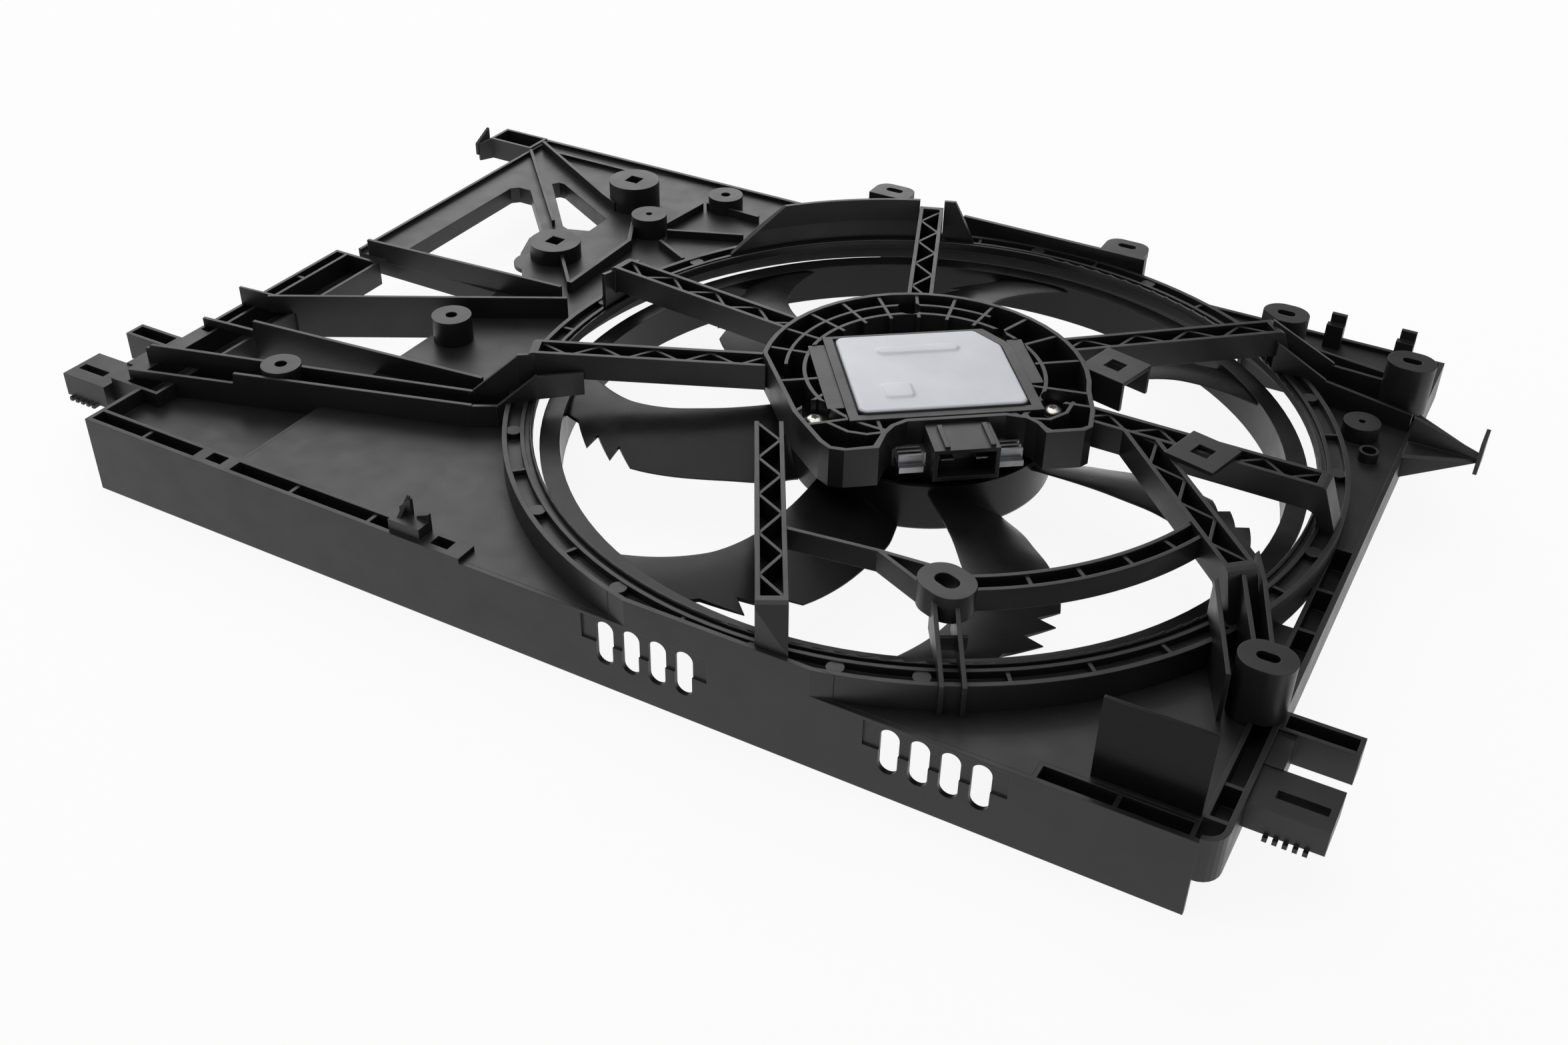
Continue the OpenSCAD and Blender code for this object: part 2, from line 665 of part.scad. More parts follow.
// The carrier's outline with the connector's recess, taken in by d towards the motor
function carrier_pts(d) = concat(
    [[92 - d, -8], [88 - d, 6]],
    [for (a = [16 : 7 : 198]) polar(carrier_r - d, a)],
    [[-38 + d * 0.7, -69 + d * 0.7], [-15 + d * 0.3, -86 + d], [-8, -89 + d], [-1, -87 + d],
     box_point(-36.5 - d, -68.5 + d), box_point(-30.6 - 0.9 * d, -56.5 + 0.5 * d),
     box_point(-25.5 - 0.7 * d, -50.5 + 0.7 * d), box_point(-18.5 - 0.2 * d, -47 + d),
     box_point(30 + 0.2 * d, -47 + d), box_point(39 + 0.6 * d, -50.5 + 0.8 * d),
     box_point(43 + 0.9 * d, -56 + 0.5 * d), box_point(45 + d, -64.5 + d), [90 - d, -13 + d * 0.6]]);

module carrier_space(low, high) {
    translate([0, 0, low]) linear_extrude(high - low) polygon(carrier_pts(0));
}

module spoke_cut(spoke) {
    difference() {
        girder(spoke);
        carrier_space(0, 200);
        block([-400, -400, 0], [400, -front_reach + wall_t, 200]);
        block([-400, back_reach - wall_t, 0], [400, 400, 200]);
    }
}

module spoke_top() {
    color(shroud_black) spoke_cut(line_a);
}

module spoke_upper_left() {
    color(shroud_black) {
        spoke_cut(line_b);
        // Cross plate at its end
        fin([-197.8, 42], [-200.3, 10], web_t, ring_h, spoke_h - 5, spoke_h - 0.6);
    }
}

module spoke_left() {
    color(shroud_black) spoke_cut(line_c);
}

module spoke_front() {
    color(shroud_black) spoke_cut(line_d);
}

module spoke_right() {
    color(shroud_black) spoke_cut(line_e);
}

module spoke_upper_right() {
    color(shroud_black) spoke_cut(line_g);
}

// Plates with a square hole for a cable clip, one on the right spoke, one beside the carrier
module clip_brackets() {
    color(shroud_black) {
        translate([144, -1, 0]) rotate(-14) clip_plate(26, 26, spoke_h);
        difference() {
            translate([81, 55, 0]) rotate(-14) union() {
                clip_plate(26, 26, spoke_h);
                block([-13, -13, spoke_low], [13, -11, spoke_h + eps]);
                block([-13, 11, spoke_low], [13, 13, spoke_h + eps]);
            }
            carrier_space(0, 200);
        }
    }
}

module clip_plate(l, w, low) {
    difference() {
        block([-l / 2, -w / 2, low], [l / 2, w / 2, low + 2.2]);
        block([-4.5, -4.5, low - 1], [4.5, 4.5, low + 3]);
    }
}

module spoke_branch() {
    color(shroud_black) difference() {
        spoke_cut(line_f);
        translate([line_e[0][0], line_e[0][1], 0]) rotate(line_e[1])
            translate([0, -spoke_w / 2, spoke_low - 10]) cube([200, spoke_w, 60]);
    }
}

// Arc rib with its slotted lug, and the stay that ties it to the ring
module arc_brace() {
    lug = [80, -150];
    low = spoke_h - 12;
    color(shroud_black) difference() {
        union() {
            difference() {
                rotate(-60) rotate_extrude(angle = 44, $fn = 180) difference() {
                    translate([164.5, low]) square([11, 11]);
                    translate([164.5 + rib_t, low + 2]) square([11 - 2 * rib_t, 20]);
                }
            }
            for (a = [-50 : 8 : -26]) rotate(a) translate([165.5, -0.9, low + 1]) cube([9, 1.8, 9]);
            wall([[-2, -150], [45, -144], [74, -142]], rib_t, low, spoke_h - 1);
            wall([[45, -144], [76, -158]], rib_t, low, spoke_h - 1);
            translate([lug[0], lug[1], low - 1]) linear_extrude(spoke_h - low + 1)
                rotate(-20) slot2(27, 22);
            difference() {
                union() {
                    fin([86, -154], [106.5, -187.5], rib_t, deck_h, spoke_h - 2, ring_h + 2);
                    fin([77, -157], [98, -191.5], rib_t, deck_h, spoke_h - 2, ring_h + 2);
                    fin([85.2, -171.5], [97, -164.5], zig_t, ring_h + 2, ring_h + 9, ring_h + 9);
                }
                ring_rim_space();
            }
        }
        translate([lug[0], lug[1], 0]) linear_extrude(100) rotate(-20) slot2(12, 8);
        translate([line_d[0][0], line_d[0][1], 0]) rotate(line_d[1])
            translate([0, -spoke_w / 2, 0]) cube([200, spoke_w, 200]);
        translate([line_f[0][0], line_f[0][1], 0]) rotate(line_f[1])
            translate([0, -spoke_w / 2, 0]) cube([200, spoke_w, 200]);
    }
}

module motor_carrier() {
    color(shroud_black) difference() {
        union() {
            // Outer wall and floor
            difference() {
                carrier_space(carrier_low, carrier_h);
                translate([0, 0, floor_top]) linear_extrude(50) polygon(carrier_pts(2.4));
                translate([0, 0, carrier_low - 1]) linear_extrude(carrier_floor - carrier_low + 1)
                    polygon(carrier_pts(2.4));
            }
            intersection() {
                carrier_space(carrier_floor, carrier_h - 0.6);
                union() {
                    for (a = [88 : 15 : 205]) rotate(a)
                        translate([56, -0.9, carrier_floor]) cube([30, 1.8, 40]);
                    for (a = [73, 57, 38, 15, 218, 345]) rotate(a)
                        translate([50, -0.9, carrier_floor]) cube([50, 1.8, 40]);
                    rotate(85) rotate_extrude(angle = 120, $fn = 128)
                        translate([69, carrier_floor]) square([1.8, 40]);
                    tube(61.5, 59.5, carrier_floor, 200);
                    // Ribs on both sides of the recess
                    rotate(box_turn) {
                        wall([[-72, -32], [-52, -14.5]], 1.8, carrier_floor, 200);
                        wall([[-66, -43], [-45, -40.5]], 1.8, carrier_floor, 200);
                        wall([[-57, -42], [-48.5, -51.5], [-40, -55], [-29, -54]], 1.8, carrier_floor, 200);
                        wall([[-32.5, -42], [-32, -57]], 1.8, carrier_floor, 200);
                        wall([[40, -43], [40.6, -53]], 1.8, carrier_floor, 200);
                        wall([[39, -49.5], [50.4, -51.7], [60.1, -46.7], [66, -38]], 1.8, carrier_floor, 200);
                        wall([[49, -32.3], [78, -44.8]], 1.8, carrier_floor, 200);
                    }
                    // Bosses under the screw heads
                    for (a = lug_turns) rotate(a) translate([lug_r, 0, carrier_floor])
                        cylinder(r = 6, h = seat_z - carrier_floor + 1, $fn = 48);
                }
            }
        }
        // Opening for the motor and the controller
        cylinder(r = base_r + 1.5, h = base_top + gap, $fn = 128);
        box_place(box_at) block([-box_l / 2 - gap, -box_w / 2 - gap, carrier_floor - 5],
            [box_l / 2 + gap, box_w / 2 + gap, 200]);
        box_place([0, 0]) for (f = flanges) block([f[0] - gap, f[2] - gap, box_top - 4 - gap],
            [f[1] + gap, f[3] + gap, 200]);
        for (a = lug_turns) rotate(a) translate([lug_r, 0, 0]) {
            cylinder(r = screw_r + 0.15, h = 100, $fn = 32);
            translate([0, 0, seat_z]) cylinder(r = 6.6, h = 40, $fn = 48);
        }
    }
}

// Walls that carry the front right boss from the end of the branch spoke
module right_gusset() {
    color(shroud_black) difference() {
        union() {
            fin([170, -70], [198.5, -136], rib_t, deck_h, spoke_h - 1, boss_h - 5);
            fin([182, -68], [206, -124], rib_t, deck_h, spoke_h - 1, boss_h - 2);
            fin([184, -54], [197, -80], rib_t, deck_h, spoke_h - 1, boss_h + 2);
            fin([196, -78.5], [213, -122], rib_t, deck_h, boss_h + 2.5, boss_h - 3);
        }
        ring_rim_space();
        cylinder(r = throat_r, h = 200, $fn = 180);
        girder_body(line_f, ring_r - 2);
        slot_space([210.4, -123.5]);
        block([right_reach - channel_w, -200, 0], [300, 100, rim_h]);
    }
}

module slot_space(at) {
    translate([at[0], at[1], 0]) linear_extrude(200) slot2(boss_slot_l + 15, boss_slot_w + 15);
}

module upper_gusset() {
    color(shroud_black) difference() {
        union() {
            fin([138, 143.5], [172, 156], rib_t, deck_low, spoke_h + 3, 56);
            fin([170.8, 155.4], [206, 153.5], rib_t, deck_low, 55, 55);
            fin([146, 170], [208, 160], rib_t, deck_low, 55.4, 55.4);
            fin([143, 134], [172, 138.6], rib_t, deck_low, spoke_h - 4, 54.5);
            fin([171, 138.8], [219, 134], rib_t, deck_low, 54, 50);
        }
        ring_rim_space();
        cylinder(r = throat_r, h = 200, $fn = 180);
        girder_body(line_g, ring_r - 2);
        block([0, 0, 0], [right_reach, back_reach, deck_h]);
        slot_space([138.9, 172]);
        slot_space([210.4, 153]);
    }
}

module front_right_boss() {
    color(shroud_black) translate([0, 0, 0]) difference() {
        slot_boss([210.4, -123.5], deck_h, boss_h, 22);
        block([right_reach - channel_w, -200, 0], [300, 100, rim_h]);
    }
}

module back_right_bosses() {
    color(shroud_black) difference() {
        union() {
            slot_boss([138.9, 172], deck_h, boss_h, 22);
            slot_boss([210.4, 153], deck_h, boss_h, 22);
        }
        ring_space();
        block([right_reach - wall_t, 0, 0], [300, 300, rim_h]);
    }
}

module back_ears() {
    color(shroud_black) for (x = [-123, 31]) {
        difference() {
            union() {
                translate([x, back_reach + ear_out - 8, 57]) linear_extrude(4.5) slot2(26, 16);
                block([x - 13, back_reach, 40], [x + 13, back_reach + ear_out - 8, 61.5]);
            }
            translate([x, back_reach + 10, 0]) linear_extrude(100) slot2(ear_slot_l, ear_slot_w);
            for (s = [-9.5, 2])
                block([x + s, back_reach + 2, 39], [x + s + 7.5, back_reach + ear_out + 1, 57]);
        }
    }
}

// Side clip: a U of ribbed walls that slides over a bracket
module clip_body(reach) {
    h = 16;
    z = rim_h - h;
    difference() {
        union() {
            block([0, 0, z], [reach, 12, rim_h]);
            block([0, -45, z], [reach, -20, rim_h - 3]);
            block([0, -21, z], [8, 1, rim_h - 2]);
            for (i = [0 : 4]) block([9 + 4 * i, -47, z - 2], [11 + 4 * i, -22, z + eps]);
        }
        block([2, 2, z + 3], [reach - 2, 10, rim_h + 1]);
        block([9, -37, z - 5], [reach - 3, -32, rim_h + 1]);
    }
}

module left_clip() {
    color(shroud_black) translate([-edge_reach, -132, 0]) mirror([1, 0, 0])
        clip_body(tab_reach - edge_reach);
}

module right_clip() {
    color(shroud_black) translate([right_reach, -131, 0]) clip_body(33);
}

module hook_arm() {
    x0 = right_reach;
    color(shroud_black) {
        difference() {
            translate([x0, 112, 0]) rotate([90, 0, 0]) linear_extrude(rib_t)
                polygon([[0, 26], [arm_reach - x0 - 2, 46], [arm_reach - x0 - 2, 51], [0, 62]]);
            block([-10, 0, 0], [x0, 300, 200]);
        }
        block([arm_reach - 2, 102, 44], [arm_reach, 118, 62]);
        plate([[x0, 140], [arm_reach - 2, 116], [arm_reach - 2, 110], [x0, 96]], 46, 48);
    }
}

module deflector_plate() {
    color(shroud_black) block([164, -193, deck_h], [209, -191, 81]);
}

// One fan blade between the hub and the band, as [radius, leading turn, trailing turn,
// leading height, trailing height]. The trailing edge is toothed near the tip.
blade_rows = [
    [hub_r + 0.04, -14.8, 19.2, 50, 29.4],
    [85, -11.2, 18.5, 48.8, 30.3],
    [100, -9.4, 16.1, 47.6, 32],
    [115, -8.8, 14.2, 47, 33.7],
    [130, -8.7, 11.8, 46.3, 34.8],
    [150, -10.8, 6.1, 45.2, 35.5],
    [154.4, -11.8, 2.1, 44.8, 35.6],
    [159.5, -13.1, 4.9, 44.3, 36],
    [165.4, -14.8, -1.6, 43.9, 36.6],
    [170.9, -16.6, 1, 43.5, 37.2],
    [176.7, -18.7, -5.8, 43, 37.6],
    [tip_r, -21.4, -8, 42.5, 38]];
chord_n = 8;
function blade_point(row, s, side) =
    let (a = row[1] + (row[2] - row[1]) * s, z = row[3] + (row[4] - row[3]) * s + 5 * s * (1 - s),
        t = 0.7 + (blade_t - 0.7) * sin(180 * pow(s, 0.8)))
    [row[0] * cos(a), row[0] * sin(a), z + side * t / 2];

module blade() {
    rows = len(blade_rows);
    cols = chord_n + 1;
    pts = [for (side = [1, -1], row = blade_rows, i = [0 : chord_n]) blade_point(row, i / chord_n, side)];
    half = rows * cols;
    quads = concat(
        [for (j = [0 : rows - 2], i = [0 : cols - 2])
            let (p = j * cols + i) [p, p + 1, p + cols + 1, p + cols]],
        [for (j = [0 : rows - 2], i = [0 : cols - 2])
            let (p = half + j * cols + i) [p + cols, p + cols + 1, p + 1, p]],
        [for (i = [0 : cols - 2]) [i, half + i, half + i + 1, i + 1]],
        [for (i = [0 : cols - 2])
            let (p = (rows - 1) * cols + i) [p + 1, half + p + 1, half + p, p]],
        [for (j = [0 : rows - 2]) let (p = j * cols) [p + cols, half + p + cols, half + p, p]],
        [for (j = [0 : rows - 2])
            let (p = j * cols + cols - 1) [p, half + p, half + p + cols, p + cols]]);
    polyhedron(points = pts,
        faces = [for (q = quads, h = [0, 2]) [q[h], q[h + 1], q[(h + 2) % 4]]]);
}

module fan_blade(i) {
    color(wheel_black) rotate(blade_turns[i - 1]) blade();
}

module fan_band() {
    color(wheel_black) {
        rotate_extrude($fn = 180) polygon([[tip_r, band_low], [tip_r + band_t, band_low],
            [tip_r + band_t, band_h - 2.4], [tip_r + band_t + flange_w, band_h - 2.4],
            [tip_r + band_t + flange_w, band_h], [tip_r, band_h]]);
    }
}

module fan_hub() {
    r = 2;
    color(wheel_black) difference() {
        union() {
            rotate_extrude($fn = 128) difference() {
                union() {
                    translate([0, hub_low]) square([hub_r - r, hub_h - hub_low]);
                    translate([0, hub_low + r]) square([hub_r, hub_h - hub_low - r]);
                    translate([hub_r - r, hub_low + r]) circle(r = r, $fn = 48);
                }
                translate([-1, hub_low + hub_t]) square([hub_r - hub_t + 1, hub_h]);
                translate([-10, 0]) square([10, 100]);
            }
            // Seat of the rotor can and the ribs around it
            tube(34, 22, hub_low + hub_t - eps, can_low);
            for (i = [0 : 13]) rotate(i * 360 / 14)
                translate([can_r + 0.8, -0.9, hub_low + hub_t - eps])
                    cube([hub_r - can_r - hub_t, 1.8, 16]);
        }
        translate([0, 0, hub_low - 1]) cylinder(r = 6, h = 30);
        for (i = [0 : 2]) rotate(i * 120) translate([hub_screw_r, 0, hub_low - 1])
            cylinder(r = screw_r + 0.1, h = 30, $fn = 32);
    }
}

module hub_screws() {
    color(steel) for (i = [0 : 2]) rotate(i * 120) translate([hub_screw_r, 0, 0]) {
        translate([0, 0, hub_low - 3]) cylinder(r = 4.6, h = 3, $fn = 32);
        translate([0, 0, hub_low - eps]) cylinder(r = screw_r, h = can_low + can_t - hub_low, $fn = 32);
    }
}

module rotor_can() {
    color(steel) difference() {
        union() {
            tube(can_r, can_in, can_low, can_h);
            translate([0, 0, can_low]) cylinder(r = can_r - 1, h = can_t);
            translate([0, 0, can_low]) cylinder(r = 9, h = can_t + 4);
        }
        translate([0, 0, can_low - 1]) cylinder(r = shaft_r, h = 30);
        for (i = [0 : 2]) rotate(i * 120) translate([hub_screw_r, 0, can_low - 1])
            cylinder(r = screw_r, h = 30, $fn = 32);
        for (i = [0 : 5]) rotate(i * 60 + 30) translate([38, 0, can_low - 1]) cylinder(r = 5, h = 10);
    }
}

module magnets() {
    color([0.3, 0.3, 0.32]) for (i = [0 : magnet_n - 1]) rotate(i * 360 / magnet_n)
        translate([0, 0, can_low + can_t + 3.6]) rotate_extrude(angle = 360 / magnet_n - 2, $fn = 128)
            translate([magnet_in, 0]) square([magnet_t, can_h - can_low - can_t - 5.6]);
}

module motor_shaft() {
    color(steel) translate([0, 0, can_low]) cylinder(r = shaft_r, h = base_low + 2 - can_low);
}

// Ball bearing drawn as its outer ring, inner ring and the balls' cage as one closed piece
module bearing(low) {
    bore = shaft_r + shaft_play;
    translate([0, 0, low]) rotate_extrude($fn = 96) difference() {
        translate([bore, 0]) square([bearing_r - bore, bearing_w]);
        for (z = [-1, bearing_w - 0.8]) translate([bore + 2.2, z]) square([bearing_r - bore - 4.4, 1.8]);
    }
}

lower_bearing_z = can_low + can_t + 5.6;
upper_bearing_z = base_low - bearing_w - 0.6;

module lower_bearing() {
    color(steel) bearing(lower_bearing_z);
}

module upper_bearing() {
    color(steel) bearing(upper_bearing_z);
}

core_low = can_low + can_t + 6.6;
core_h = 9;

module stator_core() {
    color([0.5, 0.5, 0.52]) translate([0, 0, core_low]) linear_extrude(core_h) difference() {
        union() {
            circle(r = tube_r + 8, $fn = 96);
            for (i = [0 : teeth_n - 1]) rotate(i * 360 / teeth_n) {
                translate([tube_r + 6, -2.4]) square([core_r - tube_r - 8, 4.8]);
                intersection() {
                    circle(r = core_r, $fn = 128);
                    translate([core_r - 3, -8]) square([4, 16]);
                }
            }
        }
        circle(r = tube_r, $fn = 96);
    }
}

module stator_coils() {
    coil_l = core_r - tube_r - 14;
    color([0.72, 0.42, 0.2]) for (i = [0 : teeth_n - 1]) rotate(i * 360 / teeth_n)
        translate([tube_r + 9, 0, core_low]) difference() {
            block([0, -4.4, -2.5], [coil_l, 4.4, core_h + 2.5]);
            block([-1, -2.45, -0.05], [coil_l + 1, 2.45, core_h + 0.05]);
        }
}

module motor_base() {
    color(alloy) difference() {
        union() {
            translate([0, 0, base_low]) cylinder(r = base_r, h = base_top - base_low, $fn = 128);
            translate([0, 0, lower_bearing_z - 1]) cylinder(r = tube_r, h = base_low - lower_bearing_z + 2);
            for (a = lug_turns) rotate(a) {
                translate([lug_r, 0, base_low]) cylinder(r = 6, h = carrier_floor - base_low);
                block([50, -6, base_low], [lug_r, 6, carrier_floor]);
            }
        }
        translate([0, 0, lower_bearing_z - 2]) cylinder(r = bearing_r, h = base_low + 2 - lower_bearing_z);
        translate([0, 0, base_low - 1]) cylinder(r = shaft_r + 2, h = 4);
        for (a = lug_turns) rotate(a) translate([lug_r, 0, base_low - 1])
            cylinder(r = screw_r, h = 30, $fn = 32);
    }
}

module motor_screws() {
    color(steel) for (a = lug_turns) rotate(a) translate([lug_r, 0, 0]) {
        difference() {
            translate([0, 0, seat_z]) cylinder(r = 4.8, h = 3, $fn = 32);
            translate([0, 0, seat_z + 1.2]) cylinder(r = 2, h = 3, $fn = 6);
        }
        translate([0, 0, base_low + 0.5]) cylinder(r = screw_r, h = seat_z - base_low, $fn = 32);
    }
}

// Moves what is drawn in the housing's own frame, round the given middle, to its place
module box_place(at) {
    rotate(box_turn) translate([at[0], at[1], 0]) children();
}

// Side flanges of the housing level with the carrier's ribs, as [x from, x to, y from, y to]
flanges = [[-54.5, box_at[0] - box_l / 2 + 1, -30, 32], [box_at[0] + box_l / 2 - 1, 57, -17, 27]];

// The cover's outline: a rectangle with one corner cut off
module cover2(l, w, cut) {
    polygon([[-l / 2, -w / 2], [l / 2, -w / 2], [l / 2, w / 2 - cut], [l / 2 - cut * 0.62, w / 2],
        [-l / 2, w / 2]]);
}

module controller_housing() {
    color(shroud_black) difference() {
        union() {
            box_place(box_at) translate([0, 0, base_top]) linear_extrude(box_top - base_top)
                cover2(box_l, box_w, 18);
            box_place([0, 0]) for (f = flanges)
                block([f[0], f[2], box_top - 4], [f[1], f[3], box_top - 1]);
        }
        box_place(cover_at) {
            translate([0, 0, base_top + 2.5]) linear_extrude(50) cover2(cover_l - 6, cover_w - 6, 15);
            translate([0, 0, cover_h - cover_t]) linear_extrude(50) cover2(cover_l + 1.6, cover_w + 1.6, 17);
        }
    }
}

module circuit_board() {
    color([0.1, 0.35, 0.2]) box_place(cover_at) translate([0, 0, base_top + 2.5]) linear_extrude(1.6)
        cover2(cover_l - 7, cover_w - 7, 15);
}

module controller_cover() {
    color(alloy) box_place(cover_at) {
        translate([0, 0, cover_h - cover_t]) linear_extrude(cover_t) cover2(cover_l, cover_w, 16.5);
        // Raised forms that stiffen the sheet
        translate([-1.8, 19.5, cover_h - eps]) linear_extrude(eps + 0.9) slot2(45, 9.5);
        translate([-19.8, -19.5, cover_h - eps]) linear_extrude(eps + 0.9) square(16, center = true);
    }
}

// Connector block in the carrier's recess, with its mouth towards the front
conn_at = [5.5, -61];

module conn_place() {
    box_place(conn_at) children();
}

module connector_block() {
    color(shroud_black) conn_place() difference() {
        union() {
            block([-16, -10.5, base_top - 6], [16, 18, base_top + 11]);
            for (x = [-9.5, 12.5])
                block([x - 1.2, -9.5, base_top + 11 - eps], [x + 1.2, 10, base_top + 12.5]);
        }
        block([-14, -11.5, base_top - 4], [14, 6, base_top + 9]);
        base_space();
        carrier_room();
    }
}

// Room of the motor base and of the carrier, seen from the connector's own frame
module base_space() {
    translate([-conn_at[0], -conn_at[1], 0]) cylinder(r = base_r, h = base_top, $fn = 128);
}

module carrier_room() {
    translate([-conn_at[0], -conn_at[1], 0]) rotate(-box_turn) carrier_space(0, 200);
}

module connector_pins() {
    color(steel) conn_place() for (x = [-7.6, 9.2])
        block([x - 3, -4, base_top + 1], [x + 3, 6, base_top + 2]);
}

module cooling_fins() {
    color(alloy) conn_place() difference() {
        for (s = [-1, 1]) {
            block([s * 24.5 - 6, -2, base_top - 6], [s * 24.5 + 6, 22, base_top - 3]);
            for (i = [0 : 2])
                block([s * 24.5 - 6, 8 - 3.5 * i, base_top - 6], [s * 24.5 + 6, 9.5 - 3.5 * i, base_top + 2]);
        }
        base_space();
        carrier_room();
    }
}

placed() deck_left();
placed() left_bosses();
placed() deck_front_right();
placed() deck_back_right();
placed() front_wall();
placed() right_wall();
placed() back_wall();
placed() left_edge();
placed() front_left_floor();
placed() corner_frame();
placed() truss_ribs();
placed() throat_ring();
placed() wind_shield();
placed() spoke_top();
placed() spoke_upper_left();
placed() spoke_left();
placed() spoke_front();
placed() spoke_right();
placed() spoke_branch();
placed() spoke_upper_right();
placed() clip_brackets();
placed() arc_brace();
placed() motor_carrier();
placed() right_gusset();
placed() upper_gusset();
placed() front_right_boss();
placed() back_right_bosses();
placed() back_ears();
placed() left_clip();
placed() right_clip();
placed() hook_arm();
placed() deflector_plate();
placed() fan_hub();
placed() fan_blade(1);  // fan_blade_1
placed() fan_blade(2);  // fan_blade_2
placed() fan_blade(3);  // fan_blade_3
placed() fan_blade(4);  // fan_blade_4
placed() fan_blade(5);  // fan_blade_5
placed() fan_blade(6);  // fan_blade_6
placed() fan_blade(7);  // fan_blade_7
placed() fan_band();
placed() hub_screws();
placed() rotor_can();
placed() magnets();
placed() motor_shaft();
placed() lower_bearing();
placed() upper_bearing();
placed() stator_core();
placed() stator_coils();
placed() motor_base();
placed() motor_screws();
placed() controller_housing();
placed() circuit_board();
placed() controller_cover();
placed() cooling_fins();
placed() connector_block();
placed() connector_pins();
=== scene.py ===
"""Looks of a radiator cooling fan: finishes, fine pieces, studio and camera around its CAD frame.

The shroud is a black glass-filled moulding, the wheel a smoother black one. The controller in the
middle has a pale pressed cover. Lengths are metres; sizes in millimetres end in _mm.
"""

import json
import logging
import math
from dataclasses import dataclass
from enum import Enum
from typing import NamedTuple

import bmesh
import bpy
from mathutils import Matrix, Vector


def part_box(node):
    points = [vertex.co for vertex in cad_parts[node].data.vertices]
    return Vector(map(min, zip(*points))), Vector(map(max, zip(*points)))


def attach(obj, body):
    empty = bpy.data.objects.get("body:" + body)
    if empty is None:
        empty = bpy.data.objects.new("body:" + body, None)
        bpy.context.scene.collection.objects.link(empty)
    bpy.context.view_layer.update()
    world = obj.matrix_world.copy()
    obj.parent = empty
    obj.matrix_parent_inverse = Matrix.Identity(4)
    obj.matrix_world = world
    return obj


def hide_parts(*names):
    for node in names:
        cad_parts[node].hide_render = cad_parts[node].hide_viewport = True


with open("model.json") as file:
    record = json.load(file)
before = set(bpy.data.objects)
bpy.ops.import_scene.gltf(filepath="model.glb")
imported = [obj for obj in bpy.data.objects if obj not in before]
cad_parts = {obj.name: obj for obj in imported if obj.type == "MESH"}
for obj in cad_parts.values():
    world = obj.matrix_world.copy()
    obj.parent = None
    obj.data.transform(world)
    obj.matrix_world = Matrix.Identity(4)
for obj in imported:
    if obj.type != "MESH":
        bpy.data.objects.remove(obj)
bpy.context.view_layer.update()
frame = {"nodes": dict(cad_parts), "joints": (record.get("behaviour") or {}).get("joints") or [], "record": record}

MM = 0.001
SHROUD = "shroud"
FAN = "fan"
EVEN = (1.0, 1.0, 1.0)
WHITE = (1.0, 1.0, 1.0, 1.0)

log = logging.getLogger("radiator_fan")

Colour = tuple[float, float, float]
Point2 = tuple[float, float]
Point3 = tuple[float, float, float]
Socket = bpy.types.NodeSocket


def fan_axis() -> Vector:
    """Return the point where the fan's axis meets the plane of the radiator, in metres."""
    turn = frame["joints"][0]["pos_m"]
    return Vector((turn[0], turn[1], 0.0))


def on_axis(x_mm: float, y_mm: float, z_mm: float) -> Vector:
    """Turn millimetres measured from the fan axis into a point of the frame.

    Args:
        x_mm: Distance from the fan axis along the front wall.
        y_mm: Distance from the fan axis towards the back wall.
        z_mm: Height above the radiator.

    Returns:
        The point in metres.
    """
    return fan_axis() + Vector((x_mm, y_mm, z_mm)) * MM


class NodeName(Enum):
    """Shader nodes that the finishes and the room are laid out from."""

    OUTPUT = "ShaderNodeOutputMaterial"
    SURFACE = "ShaderNodeBsdfPrincipled"
    COORDS = "ShaderNodeTexCoord"
    NOISE = "ShaderNodeTexNoise"
    MAPPING = "ShaderNodeMapping"
    RANGE = "ShaderNodeMapRange"
    BUMP = "ShaderNodeBump"
    BEVEL = "ShaderNodeBevel"
    GEOMETRY = "ShaderNodeNewGeometry"
    VECTOR = "ShaderNodeVectorMath"
    MATH = "ShaderNodeMath"
    MIX = "ShaderNodeMix"
    SPLIT = "ShaderNodeSeparateXYZ"


